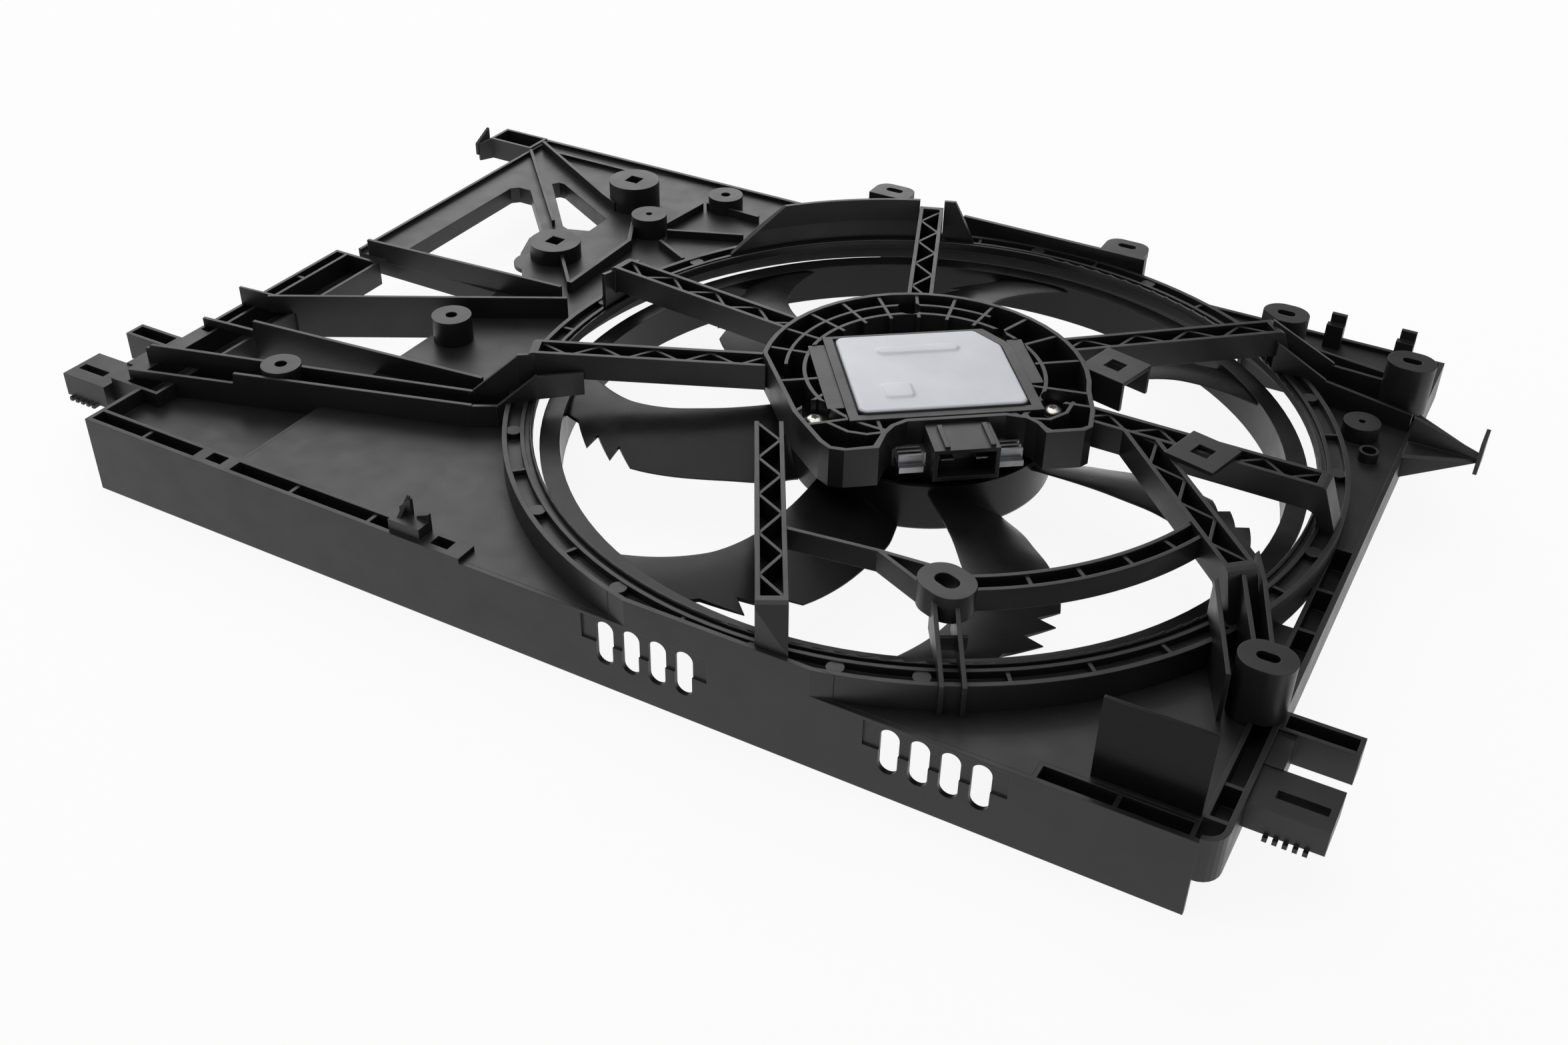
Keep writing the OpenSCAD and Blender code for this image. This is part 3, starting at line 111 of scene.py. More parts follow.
class Shade:
    """Lays out the nodes of one procedural material."""

    # The mix node repeats its sockets' names for numbers, vectors and colours, so these go by place.
    MIX_COLOURS = (6, 7)
    MIX_RESULT = 2
    BEVEL_SAMPLES = 4
    # How well the rounded normal agrees with the flat one, on a flat face and on an edge.
    EDGE_DOTS = (0.995, 0.85)

    def __init__(self, name: str) -> None:
        """Start an empty material whose surface shader is already on the output.

        Args:
            name: Name of the material.
        """
        self.material = bpy.data.materials.new(name)
        self.material.use_nodes = True
        self.tree = self.material.node_tree
        self.tree.nodes.clear()
        self.surface = self.add(NodeName.SURFACE)
        output = self.add(NodeName.OUTPUT)
        self.join(self.surface.outputs["BSDF"], output.inputs["Surface"])
        self.place = self.add(NodeName.COORDS).outputs["Object"]

    def add(self, kind: NodeName) -> bpy.types.ShaderNode:
        """Add one node of a kind and return it."""
        return self.tree.nodes.new(kind.value)

    def join(self, source: Socket, target: Socket) -> None:
        """Link one node's output to another node's input."""
        self.tree.links.new(source, target)

    def noise(self, size_mm: float, detail: float = 3.0, stretch: Point3 = EVEN) -> Socket:
        """Add cloudy noise that lies still on the piece.

        Args:
            size_mm: Rough size of one cloud.
            detail: Octaves of finer noise.
            stretch: Scale along each axis, above 1 for shorter clouds.

        Returns:
            The socket with the noise, from 0 to 1.
        """
        mapping = self.add(NodeName.MAPPING)
        mapping.inputs["Scale"].default_value = stretch
        self.join(self.place, mapping.inputs["Vector"])
        node = self.add(NodeName.NOISE)
        node.inputs["Scale"].default_value = 1.0 / (size_mm * MM)
        node.inputs["Detail"].default_value = detail
        self.join(mapping.outputs["Vector"], node.inputs["Vector"])
        return node.outputs["Fac"]

    def ramp(self, source: Socket, low: float, high: float, start: float, end: float) -> Socket:
        """Carry a value from one range to another, clamped.

        Args:
            source: The value to carry over.
            low: Value that becomes start.
            high: Value that becomes end.
            start: Result at low.
            end: Result at high.

        Returns:
            The socket with the result.
        """
        node = self.add(NodeName.RANGE)
        for key, value in (("From Min", low), ("From Max", high), ("To Min", start), ("To Max", end)):
            node.inputs[key].default_value = value
        self.join(source, node.inputs["Value"])
        return node.outputs["Result"]

    def calculate(self, operation: str, first: Socket, second: Socket) -> Socket:
        """Work out one value from two by an operation of the math node, such as ADD."""
        node = self.add(NodeName.MATH)
        node.operation = operation
        self.join(first, node.inputs[0])
        self.join(second, node.inputs[1])
        return node.outputs["Value"]

    def blend(self, share: Socket, first: Colour | Socket, second: Colour) -> Socket:
        """Mix two colours.

        Args:
            share: Share of the second colour, from 0 to 1.
            first: The first colour, or the socket that gives it.
            second: The second colour.

        Returns:
            The socket with the mixed colour.
        """
        node = self.add(NodeName.MIX)
        node.data_type = "RGBA"
        first_slot, second_slot = (node.inputs[i] for i in self.MIX_COLOURS)
        if isinstance(first, tuple):
            first_slot.default_value = (*first, 1.0)
        else:
            self.join(first, first_slot)
        second_slot.default_value = (*second, 1.0)
        self.join(share, node.inputs[0])
        return node.outputs[self.MIX_RESULT]

    def rounded(self, radius_mm: float) -> tuple[Socket, Socket]:
        """Round the look of sharp edges and find where they are.

        Args:
            radius_mm: Radius of the rounding.

        Returns:
            The rounded normal, and a share that rises from 0 on flat faces to 1 on edges.
        """
        bevel = self.add(NodeName.BEVEL)
        bevel.samples = self.BEVEL_SAMPLES
        bevel.inputs["Radius"].default_value = radius_mm * MM
        normal = self.add(NodeName.GEOMETRY).outputs["Normal"]
        dot = self.add(NodeName.VECTOR)
        dot.operation = "DOT_PRODUCT"
        self.join(bevel.outputs["Normal"], dot.inputs[0])
        self.join(normal, dot.inputs[1])
        return bevel.outputs["Normal"], self.ramp(dot.outputs["Value"], *self.EDGE_DOTS, 0.0, 1.0)

    def bump(self, height: Socket, depth_mm: float, strength: float = 0.5,
             normal: Socket | None = None) -> Socket:
        """Raise the surface by a height map.

        Args:
            height: The height, from 0 to 1.
            depth_mm: How deep a full step of the height is.
            strength: Share of the effect.
            normal: Normal to start from, the surface's own if left out.

        Returns:
            The socket with the new normal.
        """
        node = self.add(NodeName.BUMP)
        node.inputs["Distance"].default_value = depth_mm * MM
        node.inputs["Strength"].default_value = strength
        self.join(height, node.inputs["Height"])
        if normal is not None:
            self.join(normal, node.inputs["Normal"])
        return node.outputs["Normal"]

    def surfaced(self, values: dict[str, Socket | float | tuple[float, ...]]) -> bpy.types.Material:
        """Set inputs of the surface shader.

        Args:
            values: Sockets to link or constants to set, by the input's name.

        Returns:
            The finished material.
        """
        for key, value in values.items():
            target = self.surface.inputs[key]
            if isinstance(value, Socket):
                self.join(value, target)
            else:
                target.default_value = value
        return self.material


@dataclass(frozen=True)
class MouldedPlastic:
    """Glass-filled plastic with spark-eroded grain, faint flow clouds, and edges painted lighter: partly worn,
    partly a painted highlight where light catches them.
    """

    name: str
    colour: Colour
    # Lighter edge colour: partly worn edges, partly a painted highlight.
    clouded: Colour
    rubbed: Colour
    roughness: float
    roughness_swing: float = 0.07
    grain_mm: float = 0.5
    grain_depth_mm: float = 0.03
    edge_mm: float = 0.5
    specular: float = 0.4
    flow_mm: float = 38.0
    flow_stretch: Point3 = (0.5, 1.4, 1.0)
    flow_span: Point2 = (0.35, 0.7)
    scuff_mm: float = 6.0
    scuff_span: Point2 = (0.35, 0.65)
    least_scuff: float = 0.35
    patch_mm: float = 14.0
    patch_span: Point2 = (0.3, 0.7)
    rubbed_polish: float = 0.08

    def material(self) -> bpy.types.Material:
        """Build the material."""
        shade = Shade(self.name)
        normal, edge = shade.rounded(self.edge_mm)
        grain = shade.noise(self.grain_mm, detail=2.0)
        flow = shade.noise(self.flow_mm, detail=4.0, stretch=self.flow_stretch)
        scuff = shade.noise(self.scuff_mm, detail=5.0)
        scuffed = shade.ramp(scuff, *self.scuff_span, self.least_scuff, 1.0)
        # Edge mask times scuff noise: edges painted towards the lighter edge colour, partly as worn edges and
        # partly as a painted highlight where light catches them.
        wear_and_highlight = shade.calculate("MULTIPLY", edge, scuffed)
        body = shade.blend(shade.ramp(flow, *self.flow_span, 0.0, 1.0), self.colour, self.clouded)
        patches = shade.noise(self.patch_mm, detail=4.0)
        swing = shade.ramp(patches, *self.patch_span, -self.roughness_swing, self.roughness_swing)
        base = shade.ramp(wear_and_highlight, 0.0, 1.0, self.roughness, self.roughness - self.rubbed_polish)
        return shade.surfaced({
            "Base Color": shade.blend(wear_and_highlight, body, self.rubbed),
            "Roughness": shade.calculate("ADD", swing, base),
            "Normal": shade.bump(grain, self.grain_depth_mm, normal=normal),
            "Specular IOR Level": self.specular})


@dataclass(frozen=True)
class Metal:
    """Metal with a cloudy tone, a fine skin and smoother, brighter edges where it is worn."""

    name: str
    colour: Colour
    dull: Colour
    roughness: float
    skin_mm: float
    skin_depth_mm: float
    stretch: Point3 = EVEN
    metallic: float = 1.0
    cloud_mm: float = 12.0
    cloud_span: Point2 = (0.35, 0.65)
    skin_span: Point2 = (0.3, 0.7)
    edge_mm: float = 0.3
    roughness_swing: float = 0.06
    rubbed_share: float = 0.8

    def material(self) -> bpy.types.Material:
        """Build the material."""
        shade = Shade(self.name)
        normal, edge = shade.rounded(self.edge_mm)
        cloud = shade.noise(self.cloud_mm, detail=4.0)
        skin = shade.noise(self.skin_mm, stretch=self.stretch)
        share = shade.ramp(cloud, *self.cloud_span, 0.0, 1.0)
        swing = shade.ramp(skin, *self.skin_span, -self.roughness_swing, self.roughness_swing)
        base = shade.ramp(edge, 0.0, 1.0, self.roughness, self.roughness * self.rubbed_share)
        return shade.surfaced({
            "Base Color": shade.blend(share, self.colour, self.dull),
            "Roughness": shade.calculate("ADD", swing, base),
            "Normal": shade.bump(skin, self.skin_depth_mm, normal=normal),
            "Metallic": self.metallic})


@dataclass(frozen=True)
class Lacquer:
    """Varnish or rubber in one colour with slight clouds, for the board and the sealing bead."""

    name: str
    colour: Colour
    dull: Colour
    roughness: float
    roughness_swing: float = 0.08
    cloud_mm: float = 5.0
    cloud_span: Point2 = (0.3, 0.7)
    skin_mm: float = 0.4
    skin_depth_mm: float = 0.02
    skin_strength: float = 0.4

    def material(self) -> bpy.types.Material:
        """Build the material."""
        shade = Shade(self.name)
        cloud = shade.noise(self.cloud_mm)
        rough = shade.ramp(cloud, *self.cloud_span, self.roughness - self.roughness_swing,
                           self.roughness + self.roughness_swing)
        fine = shade.noise(self.skin_mm, detail=2.0)
        return shade.surfaced({
            "Base Color": shade.blend(cloud, self.colour, self.dull),
            "Roughness": rough,
            "Normal": shade.bump(fine, self.skin_depth_mm, strength=self.skin_strength)})


class Finishes(Enum):
    """Every finish on the fan, by the record's material slot."""

    # The third colour of each plastic is its lighter edge colour: partly worn edges, partly a painted highlight.
    SHROUD_PLASTIC = MouldedPlastic("shroud_black", (0.0095, 0.0095, 0.01), (0.013, 0.013, 0.0137),
                                    (0.045, 0.045, 0.047), 0.4, 0.05, specular=0.42)
    WHEEL_PLASTIC = MouldedPlastic("wheel_black", (0.006, 0.006, 0.0062), (0.009, 0.009, 0.0094),
                                   (0.03, 0.03, 0.031), 0.3, 0.05, grain_depth_mm=0.01,
                                   specular=0.24)
    # Smoother, darker copy of the shroud black for the deflector: the lower roughness is its own, the darker
    # colour and weaker reflection are painted shade.
    POLISHED_PLASTIC = MouldedPlastic("polished_shaded_black", (0.0045, 0.0045, 0.0047), (0.006, 0.006, 0.0063),
                                      (0.03, 0.03, 0.031), 0.26, 0.04, grain_depth_mm=0.004,
                                      specular=0.14)
    HOUSING_PLASTIC = MouldedPlastic("housing_black", (0.009, 0.0092, 0.0105), (0.012, 0.0122, 0.0135),
                                     (0.04, 0.04, 0.043), 0.38, 0.05, grain_mm=0.35,
                                     grain_depth_mm=0.012, specular=0.42)
    BEARING_STEEL = Metal("bearing_steel", (0.62, 0.62, 0.63), (0.5, 0.5, 0.52), 0.2, 0.3, 0.002)
    LAMINATION_STEEL = Metal("lamination_steel", (0.3, 0.3, 0.32), (0.2, 0.2, 0.21), 0.42, 0.35, 0.03,
                             stretch=(0.1, 0.1, 1.0))
    ZINC_STEEL = Metal("zinc_steel", (0.55, 0.55, 0.54), (0.43, 0.43, 0.42), 0.36, 1.2, 0.008, cloud_mm=5.0)
    MAGNET = Metal("magnet_grey", (0.13, 0.13, 0.135), (0.09, 0.09, 0.095), 0.5, 0.25, 0.02, metallic=0.6)
    COPPER = Metal("copper_wire", (0.66, 0.33, 0.16), (0.5, 0.22, 0.1), 0.3, 0.7, 0.1,
                   stretch=(0.1, 0.1, 1.0))
    # Darker than bare cast alloy: the fins are painted darker to stand in for the shade that fills them.
    CAST_ALLOY = Metal("cast_alloy", (0.36, 0.365, 0.37), (0.27, 0.27, 0.28), 0.4, 0.6, 0.03)
    COVER_ALLOY = Metal("cover_alloy", (0.6, 0.605, 0.645), (0.55, 0.555, 0.595), 0.52, 0.5, 0.004,
                        metallic=0.2, cloud_mm=30.0)
    SCREW_STEEL = Metal("screw_steel", (0.68, 0.67, 0.63), (0.55, 0.54, 0.5), 0.3, 0.4, 0.006, cloud_mm=2.0)
    TIN = Metal("tin_plate", (0.72, 0.72, 0.7), (0.62, 0.62, 0.6), 0.28, 0.5, 0.004)
    BOARD = Lacquer("board_lacquer", (0.03, 0.14, 0.06), (0.02, 0.1, 0.045), 0.35)
    SEAL = Lacquer("sealing_bead", (0.012, 0.012, 0.013), (0.02, 0.02, 0.021), 0.5)


class Wardrobe:
    """Makes each material once and puts it on pieces."""

    # Nodes that get the darker copy of the shroud black, its darkness painted shade.
    POLISHED_NODES = ("deflector_plate",)

    def __init__(self) -> None:
        """Start with no material made."""
        self._made: dict[Finishes, bpy.types.Material] = {}

    def material(self, finish: Finishes) -> bpy.types.Material:
        """Return the material of a finish, made on first use."""
        if finish not in self._made:
            self._made[finish] = finish.value.material()
        return self._made[finish]

    def dress(self, piece: bpy.types.Object, finish: Finishes) -> None:
        """Give a piece one finish all over."""
        piece.data.materials.clear()
        piece.data.materials.append(self.material(finish))

    def dress_cad(self) -> None:
        """Give every CAD node the finish of its slot in the record, except the deflector, which gets a smoother,
        darker copy of the shroud black; its darker colour is painted shade.
        """
        for part in frame["record"]["subparts"]:
            node = frame["nodes"].get(part["node"])
            if node is not None:
                polished_and_shaded = part["node"] in self.POLISHED_NODES
                finish = Finishes.POLISHED_PLASTIC if polished_and_shaded else Finishes[part["material_slot"].upper()]
                self.dress(node, finish)


def finished_piece(name: str, shape: bmesh.types.BMesh, finish: Finishes, wardrobe: Wardrobe, body: str,
                   smooth_deg: float = 35.0) -> bpy.types.Object:
    """Turn a built shape into a dressed piece that rides on a body.

    Args:
        name: Name of the piece.
        shape: The built mesh, freed afterwards.
        finish: Its finish.
        wardrobe: Where materials come from.
        body: CAD body that it moves with.
        smooth_deg: Edges flatter than this are shaded smooth.

    Returns:
        The new object.
    """
    bmesh.ops.recalc_face_normals(shape, faces=shape.faces)
    mesh = bpy.data.meshes.new(name)
    shape.to_mesh(mesh)
    shape.free()
    mesh.shade_smooth()
    mesh.set_sharp_from_angle(angle=math.radians(smooth_deg))
    piece = bpy.data.objects.new(name, mesh)
    bpy.context.scene.collection.objects.link(piece)
    wardrobe.dress(piece, finish)
    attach(piece, body)
    log.info("%s: %d faces", name, len(mesh.polygons))
    return piece


class Corner(NamedTuple):
    """One corner of an outline, with what its rounding and its inset need."""

    at: Vector
    before: Vector
    after: Vector
    half: float


def read_corners(corners: list[Point2]) -> list[Corner]:
    """Read the corners of a closed outline.

    Args:
        corners: Corners, counter-clockwise.

    Returns:
        Each corner with its directions to both neighbours and half of its angle.
    """
    read: list[Corner] = []
    for i, corner in enumerate(corners):
        at = Vector(corner)
        before = (Vector(corners[i - 1]) - at).normalized()
        after = (Vector(corners[(i + 1) % len(corners)]) - at).normalized()
        half = math.acos(max(-1.0, min(1.0, before.dot(after)))) / 2
        read.append(Corner(at, before, after, half))
    return read


def rounded_outline(corners: list[Point2], radius: float, steps: int = 6) -> list[Point2]:
    """Round the corners of a convex outline.

    Args:
        corners: Corners, counter-clockwise.
        radius: Radius of each rounding.
        steps: Segments in each rounding.

    Returns:
        The rounded outline, with the same number of points for any radius.
    """
    points: list[Point2] = []
    for at, before, after, half in read_corners(corners):
        middle = at + (before + after).normalized() * (radius / math.sin(half))
        first = at + before * (radius / math.tan(half)) - middle
        sweep = math.pi - 2 * half
        for k in range(steps + 1):
            turned = Matrix.Rotation(sweep * k / steps, 2) @ first
            points.append(tuple(middle + turned))
    return points


def inset_corners(corners: list[Point2], inset: float) -> list[Point2]:
    """Move every side of a convex, counter-clockwise outline inwards by the same distance."""
    return [tuple(at + (before + after).normalized() * (inset / math.sin(half)))
            for at, before, after, half in read_corners(corners)]


def stack_rings(shape: bmesh.types.BMesh, rings: list[list[Vector]], closed: bool = True) -> None:
    """Skin a stack of rings with the same number of points into a shape.

    Args:
        shape: The mesh to add to.
        rings: Rings of points, each skinned to the next.
        closed: Whether the first and the last ring are filled with faces.
    """
    rows = [[shape.verts.new(p) for p in ring] for ring in rings]
    count = len(rows[0])
    for low, high in zip(rows, rows[1:]):
        for i in range(count):
            j = (i + 1) % count
            shape.faces.new((low[i], low[j], high[j], high[i]))
    if closed:
        shape.faces.new(list(reversed(rows[0])))
        shape.faces.new(rows[-1])


def smooth_value(knots: tuple[Point2, ...], x: float) -> float:
    """Read a smooth curve through knots at one place, held straight past its ends.

    Args:
        knots: Places and values, with rising places.
        x: Where to read.

    Returns:
        The value there.
    """
    slopes = [(b[1] - a[1]) / (b[0] - a[0]) for a, b in zip(knots, knots[1:])]
    lean = [slopes[0]] + [(a + b) / 2 for a, b in zip(slopes, slopes[1:])] + [slopes[-1]]
    if x <= knots[0][0]:
        return knots[0][1] + slopes[0] * (x - knots[0][0])
    if x >= knots[-1][0]:
        return knots[-1][1] + slopes[-1] * (x - knots[-1][0])
    k = next(i for i in range(len(slopes)) if x <= knots[i + 1][0])
    span = knots[k + 1][0] - knots[k][0]
    t = (x - knots[k][0]) / span
    return ((2 * t ** 3 - 3 * t ** 2 + 1) * knots[k][1] + (t ** 3 - 2 * t ** 2 + t) * span * lean[k]
            + (3 * t ** 2 - 2 * t ** 3) * knots[k + 1][1] + (t ** 3 - t ** 2) * span * lean[k + 1])


def straight_value(knots: tuple[Point2, ...], x: float) -> float:
    """Read a line of straight stretches through knots at one place."""
    for a, b in zip(knots, knots[1:]):
        if x <= b[0]:
            return a[1] + (b[1] - a[1]) * (x - a[0]) / (b[0] - a[0])
    return knots[-1][1]


@dataclass
class Wheel:
    """Seven swept blades whose trailing edges are toothed near the band."""

    wardrobe: Wardrobe
    turns_deg: tuple[float, ...] = (212.0, 267.0, 312.4, 2.2, 60.0, 108.0, 156.5)
    root_r_mm: float = 67.7
    tip_r_mm: float = 184.3
    leading_deg: tuple[Point2, ...] = ((68.0, -14.8), (85.0, -11.2), (100.0, -9.4), (115.0, -8.8),
                                       (130.0, -8.7), (150.0, -10.8), (159.5, -13.1), (170.9, -16.6),
                                       (184.0, -21.4))
    trailing_deg: tuple[Point2, ...] = ((68.0, 19.2), (85.0, 18.5), (100.0, 16.1), (115.0, 14.2),
                                        (130.0, 11.8), (150.0, 7.6), (159.5, 4.9), (170.9, 1.0),
                                        (184.0, -4.5))
    teeth_deg: tuple[Point2, ...] = ((150.0, 7.6), (154.4, 2.1), (159.5, 4.9), (165.4, -1.6), (170.9, 1.0),
                                     (176.7, -5.8), (184.0, -8.0), (190.0, -10.0))
    leading_z_mm: tuple[Point2, ...] = ((68.0, 50.0), (85.0, 48.8), (115.0, 47.0), (150.0, 45.2),
                                        (184.0, 42.5))
    trailing_z_mm: tuple[Point2, ...] = ((68.0, 29.4), (85.0, 30.3), (115.0, 33.7), (150.0, 35.5),
                                         (184.0, 38.0))
    camber_mm: float = 5.0
    edge_t_mm: float = 0.7
    middle_t_mm: float = 3.0
    belly: float = 0.8
    root_flare: float = 1.2
    root_flare_mm: float = 2.5
    root_steps_mm: tuple[float, ...] = (0.0, 0.7, 1.5, 2.5, 4.0, 6.0, 9.0)
    span_steps_mm: tuple[int, int, int] = (81, 150, 4)
    tooth_steps: int = 4
    chord_steps: int = 20

    def build(self) -> None:
        """Build the seven blades."""
        for number, turn in enumerate(self.turns_deg, start=1):
            shape = bmesh.new()
            stack_rings(shape, [self._section(radius, turn) for radius in self._radii()])
            piece = finished_piece(f"smooth_blade_{number}", shape, Finishes.WHEEL_PLASTIC,
                                   self.wardrobe, FAN)
            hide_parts(f"fan_blade_{number}")

    def _radii(self) -> list[float]:
        """Return the radii of the sections, close together at the root and on every tooth."""
        radii = [self.root_r_mm + d for d in self.root_steps_mm]
        radii += [float(r) for r in range(*self.span_steps_mm)]
        for a, b in zip(self.teeth_deg[:-1], self.teeth_deg[1:-1]):
            radii += [a[0] + (b[0] - a[0]) * k / self.tooth_steps for k in range(self.tooth_steps)]
        return radii + [self.tip_r_mm]

    def _section(self, radius: float, turn_deg: float) -> list[Vector]:
        """Return the closed section of one blade at one radius, over the top and back below.

        Args:
            radius: Radius of the section in millimetres.
            turn_deg: Turn of the blade about the fan axis.

        Returns:
            The section's points in the frame.
        """
        lead = smooth_value(self.leading_deg, radius)
        trail = smooth_value(self.trailing_deg, radius)
        cut = straight_value(self.teeth_deg, radius) if radius > self.teeth_deg[0][0] else trail
        end = (cut - lead) / (trail - lead)
        low_z, high_z = smooth_value(self.trailing_z_mm, radius), smooth_value(self.leading_z_mm, radius)
        flare = 1 + self.root_flare * math.exp((self.root_r_mm - radius) / self.root_flare_mm)
        sides: list[list[Vector]] = [[], []]
        for i in range(self.chord_steps + 1):
            share = end * (0.5 - 0.5 * math.cos(math.pi * i / self.chord_steps))
            t = math.radians(turn_deg + lead + (trail - lead) * share)
            z = high_z + (low_z - high_z) * share + self.camber_mm * share * (1 - share)
            swell = math.sin(math.pi * min(1.0, share ** self.belly))
            half = flare * (self.edge_t_mm + (self.middle_t_mm - self.edge_t_mm) * swell) / 2
            for side, sign in zip(sides, (1, -1)):
                side.append(on_axis(radius * math.cos(t), radius * math.sin(t), z + sign * half))
        return sides[0] + sides[1][::-1]


@dataclass(frozen=True)
class Pressing:
    """One form pressed up out of the cover, in the cover's own frame."""

    middle_mm: Point2
    size_mm: Point2
    corner_r_mm: float

    def corners(self) -> list[Point2]:
        """Return the corners of its foot, counter-clockwise."""
        x, y = self.size_mm[0] / 2, self.size_mm[1] / 2
        return [(self.middle_mm[0] + a * x, self.middle_mm[1] + b * y)
                for a, b in ((-1, -1), (1, -1), (1, 1), (-1, 1))]


@dataclass
class Controller:
    """The motor's controller: pressed cover with its raised forms, and the sealing bead round it."""

    wardrobe: Wardrobe
    turn_deg: float = 37.0
    middle_mm: Point2 = (1.8, -1.4)
    cover_l_mm: float = 84.0
    cover_w_mm: float = 73.5
    cut_y_mm: float = 16.5
    cut_x_mm: float = 10.2
    corner_r_mm: float = 4.5
    least_r_mm: float = 0.4
    rim_r_mm: float = 1.6
    rim_steps: int = 6
    press_h_mm: float = 0.9
    press_shoulder_mm: float = 2.4
    press_steps: int = 8
    press_skirt_mm: Point2 = (0.2, 0.3)
    pressings: tuple[Pressing, ...] = (Pressing((-1.8, 19.5), (45.0, 9.5), 4.7),
                                       Pressing((-19.8, -19.5), (17.0, 16.0), 4.0))
    bead_r_mm: float = 1.0
    bead_drop_mm: float = 2.6
    bead_out_mm: float = 0.4
    bead_half_w_mm: float = 0.35
    bead_sides: int = 8
    weld_m: float = 1e-6

    def build(self) -> None:
        """Build and dress every piece of the controller."""
        self.cover()
        self.bead()

    def _ring(self, corners: list[Point2], inset_mm: float, radius_mm: float, z: float) -> list[Vector]:
        """Return one ring of a rounded outline drawn in the controller's own frame.

        Args:
            corners: Corners of the outline, counter-clockwise, in millimetres.
            inset_mm: How far the ring lies inside the outline, below 0 for outside.
            radius_mm: Radius of its corners.
            z: Height in metres.

        Returns:
            The ring's points in the frame.
        """
        turn = Matrix.Rotation(math.radians(self.turn_deg), 2)
        ring = rounded_outline(inset_corners(corners, inset_mm), max(radius_mm - inset_mm, self.least_r_mm))
        axis = fan_axis()
        return [Vector((*(turn @ (Vector(p) + Vector(self.middle_mm)) * MM), z)) + axis for p in ring]

    def _outline(self) -> list[Point2]:
        """Return the corners of the cover, with one of them cut off."""
        x, y = self.cover_l_mm / 2, self.cover_w_mm / 2
        return [(-x, -y), (x, -y), (x, y - self.cut_y_mm), (x - self.cut_x_mm, y), (-x, y)]

    def cover(self) -> None:
        """Build the pressed cover: flat sheet, rolled rim and two raised forms."""
        low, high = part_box("controller_cover")
        flat = high.z - self.press_h_mm * MM
        rim = self.rim_r_mm
        outline = self._outline()
        rings = [self._ring(outline, 0.0, self.corner_r_mm, low.z)]
        for step in range(self.rim_steps + 1):
            t = math.radians(90.0 / self.rim_steps * step)
            z = flat - rim * MM * (1 - math.sin(t))
            rings.append(self._ring(outline, rim * (1 - math.cos(t)), self.corner_r_mm, z))
        shape = bmesh.new()
        stack_rings(shape, rings)
        for pressing in self.pressings:
            self._press(shape, pressing, flat)
        piece = finished_piece("cover_plate", shape, Finishes.COVER_ALLOY, self.wardrobe, SHROUD)
        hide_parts("controller_cover")

    def _press(self, shape: bmesh.types.BMesh, pressing: Pressing, flat: float) -> None:
        """Add one pressed form with soft shoulders.

        Args:
            shape: The mesh to add to.
            pressing: The form's place and size.
            flat: Height of the sheet, in metres.
        """
        corners, radius = pressing.corners(), pressing.corner_r_mm
        out, down = self.press_skirt_mm
        rings = [self._ring(corners, -out, radius, flat - down * MM)]
        for step in range(self.press_steps + 1):
            share = step / self.press_steps
            rise = share * share * (3 - 2 * share)
            rings.append(self._ring(corners, self.press_shoulder_mm * share, radius,
                                    flat + self.press_h_mm * MM * rise))
        stack_rings(shape, rings)

    def bead(self) -> None:
        """Lay the sealing bead in the gap between the cover and its frame."""
        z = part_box("controller_cover")[1].z - self.bead_drop_mm * MM
        outline = self._outline()
        rings = []
        for k in range(self.bead_sides):
            t = 2 * math.pi * k / self.bead_sides
            grow = self.bead_out_mm + self.bead_half_w_mm * math.cos(t)
            rings.append(self._ring(outline, -grow, self.corner_r_mm, z + self.bead_r_mm * MM * math.sin(t)))
        shape = bmesh.new()
        stack_rings(shape, rings + [rings[0]], closed=False)
        bmesh.ops.remove_doubles(shape, verts=shape.verts, dist=self.weld_m)
        finished_piece("sealing_bead", shape, Finishes.SEAL, self.wardrobe, SHROUD)


